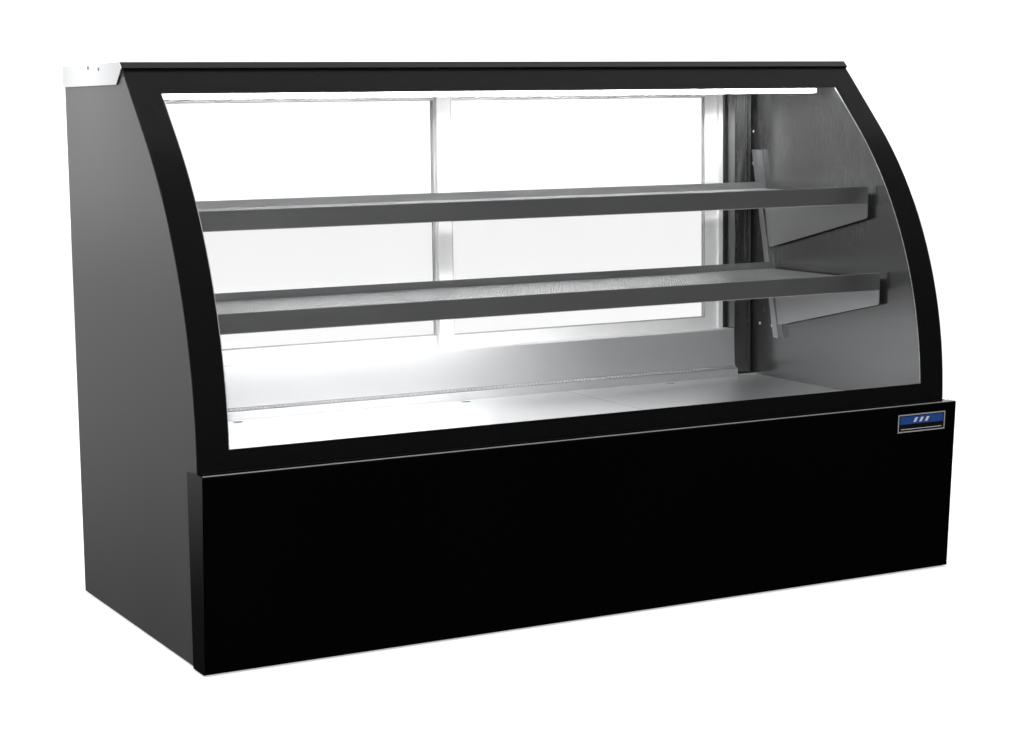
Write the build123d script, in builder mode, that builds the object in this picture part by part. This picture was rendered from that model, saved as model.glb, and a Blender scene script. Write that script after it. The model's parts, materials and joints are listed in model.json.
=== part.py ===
"""Refrigerated deli case with a bent front glass, two perforated shelves and sliding rear doors.

Millimetres, +Z up. X runs along the length, the customer's side faces -Y, and the origin is
on the floor under the middle of the case.
"""
import os
from math import cos, radians, sin, tan

from build123d import *

os.makedirs("parts", exist_ok=True)

# ---- overall size ----
case_length = 1867
case_depth = 854
case_height = 1206
floor_gap = 3
sheet = 1.5
bend = 2.5

half_length = case_length / 2
front = -case_depth / 2
rear = case_depth / 2

# ---- front panel ----
panel_height = 403
panel_setback = 25
return_depth = 89
ledge_depth = 29

# ---- bent front glass ----
glass_thickness = 6
glass_setback = 37
glass_radius = 900
glass_spring = 430
glass_sweep = 43.8
glass_run = 194.5
glass_foot = 390
glass_end_gap = 4

# ---- end walls and top ----
skin_inset = 6
liner_inset = 43.5
wall_inset = liner_inset + sheet
cap_inset = 2
cap_depth = 46
cap_front = 462
trim_width = 9
nose_top = 435.5
nose_flat = 460
skin_top = 1178
skin_back = case_depth - sheet - 0.3
ceiling = 1150

# ---- well, deck and machine space ----
well_front = 75
well_rear = 795
well_bottom = 272
foam_bottom = 236
foam_front = 40
back_face = 844
deck_level = 388
deck_front = 78
deck_rear = 742
pan_count = 3
pan_gap = 2
pan_lip = 18
finger_hole_radius = 12
finger_hole_depth = 714

# ---- rear doors ----
doorway_half = 803.5
stile = 37
door_thickness = 14
inner_door_face = 812
outer_door_face = 832
door_foot = 504
door_head = 1160
track_front = 802
track_rear = 850
sill_level = 500

# ---- shelves ----
shelf_half = half_length - 60
shelf_lip = 42
shelf_recess = 17
tray_count = 3
standard_lean = 11.6
shelf_levels = {"upper": (901, 262, 702), "lower": (694, 213, 660)}


def depth_at(distance):
    """Y of a point that many millimetres behind the front panel's top edge."""
    return front + distance


def both_sides():
    return (-1, 1)


def save(builder, name):
    builder.part.label = name
    export_step(builder.part, f"parts/{name}.step")


def folded_sheet(points, x_from, x_to, thickness=sheet, radius=bend):
    """A bent sheet whose profile follows points (depth, height) and which runs along X."""
    with BuildPart() as folded:
        with BuildSketch(Plane.YZ.offset(x_from)):
            with BuildLine():
                FilletPolyline(*[(depth_at(d), z) for d, z in points], radius=radius)
            trace(line_width=thickness)
        extrude(amount=x_to - x_from)
    return folded.part


def plate_profile(points):
    """A closed profile in the YZ plane, given as (depth, height) corners."""
    with BuildLine() as outline:
        Polyline(*[(depth_at(d), z) for d, z in points], close=True)
    make_face(outline.edges())


def glass_corner(inset, along=0.0):
    """Upper end of the straight part of the glass line, inset inwards and moved along it."""
    sweep = radians(glass_sweep)
    radius = glass_radius - inset
    y = depth_at(glass_setback + glass_radius) - radius * cos(sweep)
    z = glass_spring + radius * sin(sweep)
    run = glass_run + along
    return y + run * sin(sweep), z + run * cos(sweep)


def glass_line(inset, foot, along=0.0):
    """Edges of the glass line from its foot to its head, for use inside BuildLine."""
    centre = (depth_at(glass_setback + glass_radius), glass_spring)
    arc = CenterArc(centre, glass_radius - inset, 180, -glass_sweep)
    lower = Line((centre[0] - glass_radius + inset, foot), arc @ 0)
    upper = Line(arc @ 1, glass_corner(inset, along))
    return lower, arc, upper


def glass_band(outer, inner, foot, along=0.0):
    """A band between two insets of the glass line."""
    with BuildLine() as outline:
        near = glass_line(outer, foot, along)
        far = glass_line(inner, foot, along)
        Line(near[0] @ 0, far[0] @ 0)
        Line(near[2] @ 1, far[2] @ 1)
    make_face(outline.edges())


def end_outline(inset, foot, head, back):
    """Side outline of the case behind the glass line, cut level at its head."""
    with BuildLine() as outline:
        sweep = radians(glass_sweep)
        full_head = glass_corner(inset)[1]
        lower, arc, upper = glass_line(inset, foot, (head - full_head) / cos(sweep))
        corner = upper @ 1
        Polyline(corner, (depth_at(back), head), (depth_at(back), foot), lower @ 0)
    make_face(outline.edges())


# ---- base ----
rail = 30
rail_wall = 3
rail_foot = 20
frame_front = 55
frame_back = 835
frame_half = half_length - 12
frame_middle = depth_at((frame_front + frame_back) / 2)
frame_depth = frame_back - frame_front
foot_half_span = half_length - 60
foot_rows = {"front": frame_front + rail / 2, "rear": frame_back - rail / 2}
stem_radius = 6
stem_clearance = 0.05
foot_radius = 22
foot_pad = 10

with BuildPart() as base_frame:
    with BuildSketch(Plane.XY.offset(rail_foot)):
        with Locations((0, frame_middle)):
            Rectangle(2 * frame_half, frame_depth)
            Rectangle(2 * (frame_half - rail), frame_depth - 2 * rail, mode=Mode.SUBTRACT)
    extrude(amount=rail)
    with BuildSketch(Plane.XY.offset(rail_foot + rail_wall)):
        with Locations((0, frame_middle)):
            Rectangle(2 * (frame_half - rail_wall), frame_depth - 2 * rail_wall)
            Rectangle(2 * (frame_half - rail), frame_depth - 2 * rail, mode=Mode.SUBTRACT)
    extrude(amount=rail - 2 * rail_wall, mode=Mode.SUBTRACT)
    for cross_x in (-half_length / 3, half_length / 3):
        with Locations((cross_x, frame_middle, rail_foot + rail / 2)):
            Box(rail_wall, frame_depth - 2 * rail_wall, rail)
    for side in both_sides():
        for row in foot_rows.values():
            with Locations((side * foot_half_span, depth_at(row), rail_foot + rail / 2)):
                Box(rail, rail - 2, rail - 2)
                Cylinder(stem_radius + stem_clearance, rail + 2, mode=Mode.SUBTRACT)
save(base_frame, "base_frame")

with BuildPart() as base_pan:
    with Locations((0, frame_middle, rail_foot + rail + sheet / 2)):
        Box(2 * (frame_half - 3), frame_depth - 6, sheet)
save(base_pan, "base_pan")

for row_name, row in foot_rows.items():
    for side_name, side in (("left", -1), ("right", 1)):
        with BuildPart() as levelling_foot:
            with Locations((side * foot_half_span, depth_at(row), 0)):
                Cylinder(foot_radius, foot_pad, align=(Align.CENTER, Align.CENTER, Align.MIN))
            chamfer(levelling_foot.faces().sort_by(Axis.Z)[-1].edges(), 2.5)
            with Locations((side * foot_half_span, depth_at(row), foot_pad)):
                Cylinder(stem_radius, 32, align=(Align.CENTER, Align.CENTER, Align.MIN))
            with BuildSketch(Plane.XY.offset(foot_pad)):
                with Locations((side * foot_half_span, depth_at(row))):
                    RegularPolygon(10, 6)
            extrude(amount=7)
        save(levelling_foot, f"levelling_foot_{row_name}_{side_name}")

# ---- front panel: one folded sheet that wraps round both ends ----
panel_lean = panel_setback / (panel_height - floor_gap - sheet)
with BuildPart() as front_panel:
    with BuildSketch(Plane.YZ.offset(-half_length)):
        with BuildLine():
            FilletPolyline(
                (depth_at(ledge_depth), panel_height - sheet / 2),
                (depth_at(sheet / 2), panel_height - sheet / 2),
                (depth_at(panel_setback + sheet / 2), floor_gap + sheet / 2),
                (depth_at(panel_setback + 20), floor_gap + sheet / 2),
                radius=bend,
            )
        trace(line_width=sheet)
    extrude(amount=case_length)
    for side in both_sides():
        with BuildSketch(Plane.YZ.offset(side * half_length)):
            plate_profile(
                (
                    (sheet, panel_height - sheet),
                    (return_depth, panel_height - sheet),
                    (return_depth, floor_gap),
                    (panel_setback + sheet, floor_gap),
                )
            )
        extrude(amount=-side * sheet)
save(front_panel, "front_panel")

# ---- badge plate: a plain framed plate near the right end ----
badge_width = 140
badge_height = 44
badge_x = half_length - 101
badge_z = 361
badge_depth = panel_lean * (panel_height - sheet / 2 - badge_z) - 0.01
badge_plane = Plane(
    origin=(badge_x, depth_at(badge_depth), badge_z), x_dir=(1, 0, 0), z_dir=(0, -1, -panel_lean)
)
with BuildPart() as badge:
    with BuildSketch(badge_plane):
        RectangleRounded(badge_width, badge_height, 3)
    extrude(amount=0.8)
save(badge, "badge")

# ---- end walls ----
for side_name, side in (("left", -1), ("right", 1)):
    with BuildPart() as end_panel:
        with BuildSketch(Plane.YZ.offset(side * (half_length - skin_inset))):
            end_outline(glass_thickness + trim_width + 1, floor_gap, skin_top, skin_back)
        extrude(amount=-side * sheet)
    save(end_panel, f"end_panel_{side_name}")

with BuildPart() as end_insulation:
    for side in both_sides():
        with BuildSketch(Plane.YZ.offset(side * (half_length - skin_inset - sheet))):
            end_outline(glass_thickness + 3, foam_bottom, ceiling, back_face - sheet)
        extrude(amount=-side * (liner_inset - skin_inset - sheet))
save(end_insulation, "end_insulation")

with BuildPart() as end_liners:
    for side in both_sides():
        with BuildSketch(Plane.YZ.offset(side * (half_length - liner_inset))):
            end_outline(glass_thickness + 3, well_bottom - sheet, ceiling, track_front - 1)
        extrude(amount=-side * sheet)
save(end_liners, "end_liners")

trim_foot = panel_height + 1
with BuildPart() as end_trims:
    for side in both_sides():
        with BuildSketch(Plane.YZ.offset(side * (half_length - cap_inset - 2))):
            glass_band(glass_thickness + 0.5, glass_thickness + trim_width, trim_foot, -16)
        extrude(amount=-side * 3.4)
save(end_trims, "end_trims")

# ---- front glass and what holds it ----
with BuildPart() as front_glass:
    with BuildSketch(Plane.YZ.offset(-half_length + glass_end_gap)):
        glass_band(0, glass_thickness, glass_foot)
    extrude(amount=case_length - 2 * glass_end_gap)
    fillet(front_glass.edges().filter_by(Axis.X), 0.8)
save(front_glass, "front_glass")

channel_front = glass_setback - 3.5
channel_back = glass_setback + glass_thickness + 3
channel_foot = 385
channel_floor = 388
channel_wall = 2
gasket_head = 401
with BuildPart() as glass_channel:
    with BuildSketch(Plane.YZ.offset(-half_length + 8)):
        plate_profile(
            (
                (channel_front, channel_foot),
                (channel_back, channel_foot),
                (channel_back, panel_height),
                (channel_back - channel_wall, panel_height),
                (channel_back - channel_wall, channel_floor),
                (channel_front + channel_wall, channel_floor),
                (channel_front + channel_wall, panel_height - 3),
                (channel_front, panel_height - 3),
            )
        )
    extrude(amount=case_length - 16)
save(glass_channel, "glass_channel")

with BuildPart() as glass_gasket:
    with BuildSketch(Plane.YZ.offset(-half_length + 9)):
        plate_profile(
            (
                (channel_front + channel_wall, channel_floor),
                (channel_back - channel_wall, channel_floor),
                (channel_back - channel_wall, gasket_head),
                (glass_setback + glass_thickness, gasket_head),
                (glass_setback + glass_thickness, glass_foot),
                (glass_setback, glass_foot),
                (glass_setback, gasket_head - 2),
                (channel_front + channel_wall, gasket_head - 2),
            )
        )
    extrude(amount=case_length - 18)
save(glass_gasket, "glass_gasket")

# ---- canopy ----
bond_gap = 2
bond_wall = 3
bond_length = 48
with BuildPart() as top_front_rail:
    with BuildSketch(Plane.YZ.offset(-half_length + glass_end_gap)):
        with BuildLine():
            Polyline(
                glass_corner(0, 0.6),
                (depth_at(nose_top), case_height),
                (depth_at(nose_flat), case_height),
                (depth_at(nose_flat), case_height - 3),
                (depth_at(nose_flat - 12), case_height - 3),
                glass_corner(glass_thickness + bond_gap + bond_wall, -4),
                glass_corner(glass_thickness + bond_gap, -4),
                glass_corner(glass_thickness + bond_gap, 0.6),
                close=True,
            )
        make_face()
    extrude(amount=case_length - 2 * glass_end_gap)
    with BuildSketch(Plane.YZ.offset(-half_length + 2 * glass_end_gap)):
        with BuildLine():
            Polyline(
                glass_corner(glass_thickness + bond_gap + bond_wall, -3),
                glass_corner(glass_thickness + bond_gap + bond_wall, -bond_length),
                glass_corner(glass_thickness + bond_gap, -bond_length),
                glass_corner(glass_thickness + bond_gap, -3),
                close=True,
            )
        make_face()
    extrude(amount=case_length - 4 * glass_end_gap)
save(top_front_rail, "top_front_rail")

with BuildPart() as top_panel:
    with BuildSketch(Plane.YZ.offset(-half_length + cap_inset)):
        with BuildLine():
            FilletPolyline(
                (depth_at(nose_flat + 0.5), case_height - sheet / 2),
                (depth_at(case_depth - sheet / 2), case_height - sheet / 2),
                (depth_at(case_depth - sheet / 2), case_height - cap_depth),
                radius=bend,
            )
        trace(line_width=sheet)
    extrude(amount=case_length - 2 * cap_inset)
    for side in both_sides():
        with BuildSketch(Plane.YZ.offset(side * (half_length - cap_inset))):
            plate_profile(
                (
                    (case_depth - bend, case_height),
                    (nose_top + 0.5, case_height),
                    (nose_top - 12.5, case_height - 13),
                    (cap_front, case_height - cap_depth),
                    (case_depth, case_height - cap_depth),
                    (case_depth, case_height - bend),
                )
            )
        extrude(amount=-side * sheet)
save(top_panel, "top_panel")

foam_half = half_length - skin_inset - sheet - 1
foam_nose = 420
ceiling_front = 404
with BuildPart() as top_insulation:
    with BuildSketch(Plane.YZ.offset(-foam_half)):
        plate_profile(
            (
                (nose_flat + 3, case_height - sheet - 1),
                (back_face - 2, case_height - sheet - 1),
                (back_face - 2, ceiling + 22),
                (track_front - 2, ceiling + 22),
                (track_front - 2, ceiling + sheet),
                (foam_nose, ceiling + sheet),
                (foam_nose, ceiling + 10),
            )
        )
    extrude(amount=2 * foam_half)
save(top_insulation, "top_insulation")

room_half = half_length - wall_inset
with BuildPart() as ceiling_liner:
    with Locations((0, depth_at((ceiling_front + track_front - 1) / 2), ceiling + sheet / 2)):
        Box(2 * room_half, track_front - 1 - ceiling_front, sheet)
save(ceiling_liner, "ceiling_liner")

# ---- lamp ----
lamp_depth = 452
lamp_width = 26
lamp_half = half_length - 82
housing_foot = 1139
lens_foot = 1129
lens_half = 11
lamp_cap = 4
with BuildPart() as lamp_housing:
    with BuildSketch(Plane.YZ.offset(-lamp_half)):
        with Locations((depth_at(lamp_depth), (housing_foot + ceiling) / 2)):
            Rectangle(lamp_width, ceiling - housing_foot)
    extrude(amount=2 * lamp_half)
    for side in both_sides():
        cap_x = side * (lamp_half - lamp_cap / 2)
        with Locations((cap_x, depth_at(lamp_depth), (lens_foot + ceiling) / 2)):
            Box(lamp_cap, lamp_width, ceiling - lens_foot)
save(lamp_housing, "lamp_housing")

with BuildPart() as lamp_lens:
    with BuildSketch(Plane.YZ.offset(-lamp_half + lamp_cap)):
        with BuildLine():
            front_foot = (depth_at(lamp_depth - lens_half), housing_foot)
            back_foot = (depth_at(lamp_depth + lens_half), housing_foot)
            ThreePointArc(front_foot, (depth_at(lamp_depth), lens_foot), back_foot)
            Line(back_foot, front_foot)
        make_face()
    extrude(amount=2 * (lamp_half - lamp_cap))
save(lamp_lens, "lamp_lens")

# ---- rear doorway: head and sill tracks with three fins, and two jambs ----
track_middle = 827
fin = 3
head_drop = 15
head_rise = 20
sill_fin_inner = 512
sill_fin_middle = 524
jamb_width = 12
with BuildPart() as door_tracks:
    with BuildSketch(Plane.YZ.offset(-doorway_half)):
        plate_profile(
            (
                (track_front, sill_level),
                (track_rear, sill_level),
                (track_rear, sill_fin_inner),
                (track_rear - fin, sill_fin_inner),
                (track_rear - fin, sill_level + fin),
                (track_middle + fin, sill_level + fin),
                (track_middle + fin, sill_fin_middle),
                (track_middle, sill_fin_middle),
                (track_middle, sill_level + fin),
                (track_front + fin, sill_level + fin),
                (track_front + fin, sill_fin_inner),
                (track_front, sill_fin_inner),
            )
        )
        plate_profile(
            (
                (track_front, ceiling),
                (track_front + fin, ceiling),
                (track_front + fin, ceiling + head_drop),
                (track_middle, ceiling + head_drop),
                (track_middle, ceiling),
                (track_middle + fin, ceiling),
                (track_middle + fin, ceiling + head_drop),
                (track_rear - fin, ceiling + head_drop),
                (track_rear - fin, ceiling),
                (track_rear, ceiling),
                (track_rear, ceiling + head_rise),
                (track_front, ceiling + head_rise),
            )
        )
    extrude(amount=2 * doorway_half)
    for side in both_sides():
        with Locations(
            (
                side * (doorway_half + jamb_width / 2),
                depth_at((track_front + track_rear) / 2),
                (sill_level + ceiling + head_rise) / 2,
            )
        ):
            Box(jamb_width, track_rear - track_front, ceiling + head_rise - sill_level)
save(door_tracks, "door_tracks")

pillar_inner = doorway_half + jamb_width
cover_outer = half_length - skin_inset - sheet - 0.5
with BuildPart() as pillar_boxes:
    for side in both_sides():
        with Locations(
            (
                side * (pillar_inner + room_half) / 2,
                depth_at((track_front + back_face - sheet) / 2),
                (sill_level + ceiling) / 2,
            )
        ):
            Box(room_half - pillar_inner, back_face - sheet - track_front, ceiling - sill_level)
        with Locations(
            (
                side * (pillar_inner + cover_outer) / 2,
                depth_at(back_face - sheet / 2),
                (sill_level + skin_top) / 2,
            )
        ):
            Box(cover_outer - pillar_inner, sheet, skin_top - sill_level)

post_inner = 826
post_outer = 877
post_front = 765
post_back = 794
post_foot = 392
post_head = ceiling - 1
rib_size = 3
rib_inner_edges = (post_inner, 862, post_outer - rib_size)
slot_columns = (832.5, 869.5)
slot_pitch = 25
slot_count = int((post_head - post_foot - 20) / slot_pitch)
post_middle = (post_inner + post_outer) / 2
with BuildPart() as corner_posts:
    for side in both_sides():
        with BuildSketch(Plane.XY.offset(post_foot)):
            with Locations((side * post_middle, depth_at((post_front + post_back) / 2))):
                Rectangle(post_outer - post_inner, post_back - post_front)
            with Locations((side * post_middle, depth_at((post_front + post_back + sheet) / 2))):
                Rectangle(
                    post_outer - post_inner - 2 * sheet,
                    post_back - post_front - sheet,
                    mode=Mode.SUBTRACT,
                )
            for rib_edge in rib_inner_edges:
                with Locations((side * (rib_edge + rib_size / 2), depth_at(post_front - rib_size / 2))):
                    Rectangle(rib_size, rib_size)
        extrude(amount=post_head - post_foot)
        with BuildSketch(Plane.XZ.offset(-depth_at(post_front) - sheet - 1)):
            for slot_x in slot_columns:
                with Locations((side * slot_x, (post_foot + post_head) / 2)):
                    with GridLocations(1, slot_pitch, 1, slot_count):
                        SlotOverall(12, 3.5, rotation=90)
        extrude(amount=sheet + 2, mode=Mode.SUBTRACT)

with BuildPart() as rear_pillars:
    add(pillar_boxes.part)
    add(corner_posts.part)
save(rear_pillars, "rear_pillars")

# ---- sliding doors: a mitred frame round a sealed double pane ----
door_width = doorway_half + stile / 2 - 0.5
door_height = door_head - door_foot
pane_half_thickness = 5
pull_height = 90
pull_width = 20
pull_sink = 8
pull_z = 830
door_places = {"left": (-1, outer_door_face), "right": (1, inner_door_face)}
for side_name, (side, face) in door_places.items():
    door_x = side * (doorway_half - 0.5 - door_width / 2)
    door_z = (door_foot + door_head) / 2
    door_y = depth_at(face + door_thickness / 2)
    with BuildPart() as door_frame:
        with Locations((door_x, door_y, door_z)):
            Box(door_width, door_thickness, door_height)
            Box(
                door_width - 2 * stile,
                door_thickness,
                door_height - 2 * stile,
                mode=Mode.SUBTRACT,
            )
        pull_x = side * (doorway_half - 0.5 - stile / 2)
        pull_y = depth_at(face + door_thickness - pull_sink / 2)
        with Locations((pull_x, pull_y, pull_z)):
            Box(pull_width, pull_sink, pull_height, mode=Mode.SUBTRACT)
    save(door_frame, f"rear_door_{side_name}_frame")
    with BuildPart() as door_pane:
        with Locations((door_x, door_y, door_z)):
            Box(door_width - 2 * stile, 2 * pane_half_thickness, door_height - 2 * stile)
    save(door_pane, f"rear_door_{side_name}_pane")

# ---- insulated well ----
pipe_hole_x = 640
pipe_hole_depth = 640
pipe_hole_radius = 16
drain_x = -420
drain_depth = 470
drain_radius = 11
with BuildPart() as tub_insulation:
    with BuildSketch(Plane.YZ.offset(-room_half)):
        plate_profile(
            (
                (foam_front, foam_bottom),
                (back_face - sheet, foam_bottom),
                (back_face - sheet, sill_level),
                (well_rear + sheet, sill_level),
                (well_rear + sheet, well_bottom - sheet),
                (well_front - sheet, well_bottom - sheet),
                (well_front - sheet, 384),
                (foam_front, 384),
            )
        )
    extrude(amount=2 * room_half)
    with Locations((pipe_hole_x, depth_at(pipe_hole_depth), foam_bottom)):
        Cylinder(pipe_hole_radius, 200, mode=Mode.SUBTRACT)
    with Locations((drain_x, depth_at(drain_depth), foam_bottom)):
        Cylinder(drain_radius, 200, mode=Mode.SUBTRACT)
save(tub_insulation, "tub_insulation")

pan_rest = deck_level - pan_lip
rest_width = 18
rest_thickness = 2
well_sheet = folded_sheet(
    (
        (channel_back + 2, panel_height + 1),
        (well_front - sheet / 2, panel_height + 1),
        (well_front - sheet / 2, well_bottom - sheet / 2),
        (well_rear + sheet / 2, well_bottom - sheet / 2),
        (well_rear + sheet / 2, sill_level - 1),
    ),
    -room_half,
    room_half,
)
with BuildPart() as tub_liner:
    add(well_sheet)
    with Locations((0, depth_at(well_front + rest_width / 2), pan_rest - rest_thickness / 2)):
        Box(2 * room_half, rest_width, rest_thickness)
    with Locations((pipe_hole_x, depth_at(pipe_hole_depth), well_bottom)):
        Cylinder(pipe_hole_radius, 20, mode=Mode.SUBTRACT)
    with Locations((drain_x, depth_at(drain_depth), well_bottom)):
        Cylinder(drain_radius, 20, mode=Mode.SUBTRACT)
save(tub_liner, "tub_liner")

# ---- air duct panel under the sill, with one row of blow holes ----
duct_foot_front = 728
strip_low = (746, 406)
strip_high = (760, 414)
duct_rise_back = 764
duct_top = 511
hole_pitch = 10
hole_radius = 2.2
strip_slope = (strip_high[1] - strip_low[1]) / (strip_high[0] - strip_low[0])
hole_count = int((2 * room_half - 30) / hole_pitch)
strip_plane = Plane(
    origin=(0, depth_at((strip_low[0] + strip_high[0]) / 2), (strip_low[1] + strip_high[1]) / 2),
    x_dir=(1, 0, 0),
    z_dir=(0, -strip_slope, 1),
)
duct_sheet = folded_sheet(
    (
        (duct_foot_front, pan_rest - sheet / 2),
        (strip_low[0], pan_rest - sheet / 2),
        strip_low,
        strip_high,
        (duct_rise_back, duct_top),
        (track_front - 1, duct_top),
    ),
    -room_half + 0.5,
    room_half - 0.5,
    radius=1.6,
)
with BuildPart() as rear_duct_panel:
    add(duct_sheet)
    with BuildSketch(strip_plane.offset(-4)):
        with GridLocations(hole_pitch, 1, hole_count, 1):
            Circle(hole_radius)
    extrude(amount=8, mode=Mode.SUBTRACT)
    for side in both_sides():
        with Locations((side * (post_inner + room_half) / 2, depth_at(track_front - 35), duct_top)):
            Box(
                room_half - post_inner + 1,
                80,
                2 * (duct_top - post_foot),
                mode=Mode.SUBTRACT,
            )
save(rear_duct_panel, "rear_duct_panel")

# ---- deck pans ----
pan_pitch = 2 * room_half / pan_count
pan_length = pan_pitch - pan_gap
for index, pan_name in enumerate(("left", "middle", "right")):
    pan_x = (index - 1) * pan_pitch
    pan_sheet = folded_sheet(
        (
            (deck_front + sheet / 2, pan_rest + 0.2),
            (deck_front + sheet / 2, deck_level - sheet / 2),
            (deck_rear - sheet / 2, deck_level - sheet / 2),
            (deck_rear - sheet / 2, pan_rest + 0.2),
        ),
        pan_x - pan_length / 2,
        pan_x + pan_length / 2,
    )
    with BuildPart() as deck_pan:
        add(pan_sheet)
        with Locations((pan_x, depth_at(finger_hole_depth), deck_level)):
            Cylinder(finger_hole_radius, 10, mode=Mode.SUBTRACT)
    save(deck_pan, f"deck_pan_{pan_name}")

# ---- shelf standards, brackets and shelves ----
standard_foot = 496
standard_head = 983
standard_foot_depth = 648
standard_width = 20
standard_stand = 18
flange_width = 24
lean = tan(radians(standard_lean))
hook_height = 9
slot_height = 22
hook_thickness = 2.5
hook_reach = 8
hook_sink = 4
hook_inset = 5
hook_drops = (40, 115)


def standard_depth(z):
    """Depth of the standard's rear corner at a height."""
    return standard_foot_depth + lean * (z - standard_foot)


def slanted_box(x_from, x_to, depth_offset, width, z_from, z_to):
    """A bar parallel to a standard, between two heights and two x positions."""
    with BuildPart() as bar:
        with BuildSketch(Plane.YZ.offset(min(x_from, x_to))):
            plate_profile(
                (
                    (standard_depth(z_from) + depth_offset, z_from),
                    (standard_depth(z_from) + depth_offset - width, z_from),
                    (standard_depth(z_to) + depth_offset - width, z_to),
                    (standard_depth(z_to) + depth_offset, z_to),
                )
            )
        extrude(amount=abs(x_to - x_from))
    return bar.part


standard_face = room_half - standard_stand
hook_levels = [
    level - drop for level, _, _ in shelf_levels.values() for drop in hook_drops
]
channel_bars = []
channel_cuts = []
for side in both_sides():
    wall_x = side * room_half
    face_x = side * standard_face
    hook_x = side * (standard_face + hook_inset)
    channel_bars += [
        slanted_box(wall_x, face_x, 0, standard_width, standard_foot, standard_head),
        slanted_box(
            wall_x, wall_x - side * 2, flange_width, flange_width, standard_foot, standard_head
        ),
    ]
    channel_cuts += [
        slanted_box(
            wall_x, face_x + side * 2, -2, standard_width - 4, standard_foot - 5, standard_head + 5
        )
    ]
    channel_cuts += [
        slanted_box(
            hook_x - 2.5, hook_x + 2.5, -standard_width + 3, 6, level - 2, level + slot_height
        )
        for level in hook_levels
    ]
with BuildPart() as shelf_standards:
    for bar in channel_bars:
        add(bar)
    for cut in channel_cuts:
        add(cut, mode=Mode.SUBTRACT)
save(shelf_standards, "shelf_standards")

end_bar = 16
cross_bar = 30
lip_end_width = 9
tray_thickness = 1.8
bracket_feet = {"upper": (824, 730), "lower": (617, 529)}
for shelf_name, (level, lip_depth, back_depth) in shelf_levels.items():
    nose_foot, heel_level = bracket_feet[shelf_name]
    plate_head = level - shelf_recess - 4
    tray_seat = level - shelf_recess - 3
    hooks = []
    for side in both_sides():
        plate_x = side * (standard_face + hook_inset - hook_thickness / 2)
        hooks += [
            slanted_box(
                plate_x,
                plate_x + side * hook_thickness,
                -standard_width + hook_sink,
                hook_sink + hook_reach,
                level - drop,
                level - drop + hook_height,
            )
            for drop in hook_drops
        ]
    with BuildPart() as shelf_brackets:
        for side in both_sides():
            plate_x = side * (standard_face + hook_inset - hook_thickness / 2)
            with BuildSketch(Plane.YZ.offset(plate_x)):
                with BuildLine():
                    FilletPolyline(
                        (depth_at(standard_depth(plate_head) - standard_width - 1), plate_head),
                        (depth_at(lip_depth + 4), plate_head),
                        (depth_at(lip_depth + 4), nose_foot),
                        (depth_at(standard_depth(heel_level) - standard_width - 1), heel_level),
                        radius=8,
                        close=True,
                    )
                make_face()
            extrude(amount=side * hook_thickness)
        for hook in hooks:
            add(hook)
    save(shelf_brackets, f"{shelf_name}_shelf_brackets")

    lip_sheet = folded_sheet(
        (
            (lip_depth + 12, level - shelf_lip + sheet / 2),
            (lip_depth + sheet / 2, level - shelf_lip + sheet / 2),
            (lip_depth + sheet / 2, level - sheet / 2),
            (lip_depth + 9, level - sheet / 2),
            (lip_depth + 9, tray_seat),
            (lip_depth + 24, tray_seat),
        ),
        -shelf_half,
        shelf_half,
        radius=1.2,
    )
    back_sheet = folded_sheet(
        ((back_depth - 16, tray_seat), (back_depth, tray_seat), (back_depth, level)),
        -shelf_half,
        shelf_half,
        radius=1.2,
    )
    shelf_middle = depth_at((lip_depth + back_depth) / 2)
    bar_length = back_depth - lip_depth - 20
    lip_end_middle = depth_at(lip_depth + sheet / 2 + lip_end_width / 2)
    with BuildPart() as shelf_frame:
        add(lip_sheet)
        add(back_sheet)
        for side in both_sides():
            with Locations((side * (shelf_half - end_bar / 2), shelf_middle, tray_seat)):
                Box(end_bar, bar_length, sheet)
            with Locations((side * shelf_half / tray_count, shelf_middle, tray_seat)):
                Box(cross_bar, bar_length, sheet)
            with Locations((side * (shelf_half - sheet / 2), lip_end_middle, level - shelf_lip / 2)):
                Box(sheet, lip_end_width, shelf_lip - 1)
    save(shelf_frame, f"{shelf_name}_shelf_frame")

    with BuildPart() as shelf_trays:
        tray_pitch = 2 * shelf_half / tray_count
        for index in range(tray_count):
            tray_x = (index - 1) * tray_pitch
            with Locations(
                (
                    tray_x,
                    depth_at((lip_depth + 10 + back_depth - 1) / 2),
                    tray_seat + sheet / 2 + tray_thickness / 2,
                )
            ):
                Box(tray_pitch - 2, back_depth - lip_depth - 12, tray_thickness)
    save(shelf_trays, f"{shelf_name}_shelf_trays")

# ---- outer back: skin over the well, louvred grille over the machine space ----
grille_foot = 14
grille_head = foam_bottom - 2
grille_half = half_length - 12
control_x = -700
control_width = 190
control_height = 70
control_z = 175
inlet_x = -700
inlet_z = 70
louvre_rows = 13
louvre_pitch = 14
louvre_length = 230
louvre_slot = 5
bank_pitch = 262
bank_xs = [-330 + bank * bank_pitch for bank in range(5)]
with BuildPart() as rear_skin:
    with Locations((0, depth_at(back_face - sheet / 2), (foam_bottom + sill_level - 1) / 2)):
        Box(2 * (half_length - 10), sheet, sill_level - 1 - foam_bottom)
save(rear_skin, "rear_skin")

grille_middle = (grille_foot + grille_head) / 2
with BuildPart() as rear_grille:
    with Locations((0, depth_at(back_face), grille_middle)):
        Box(2 * grille_half, sheet, grille_head - grille_foot)
    with BuildSketch(Plane.XZ.offset(-depth_at(back_face) - 3)):
        for bank_x in bank_xs:
            with Locations((bank_x, grille_middle)):
                with GridLocations(1, louvre_pitch, 1, louvre_rows):
                    Rectangle(louvre_length, louvre_slot)
        with Locations((control_x, control_z)):
            Rectangle(control_width - 20, control_height - 16)
        with Locations((inlet_x, inlet_z)):
            Rectangle(48, 28)
    extrude(amount=6, mode=Mode.SUBTRACT)
save(rear_grille, "rear_grille")

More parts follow.
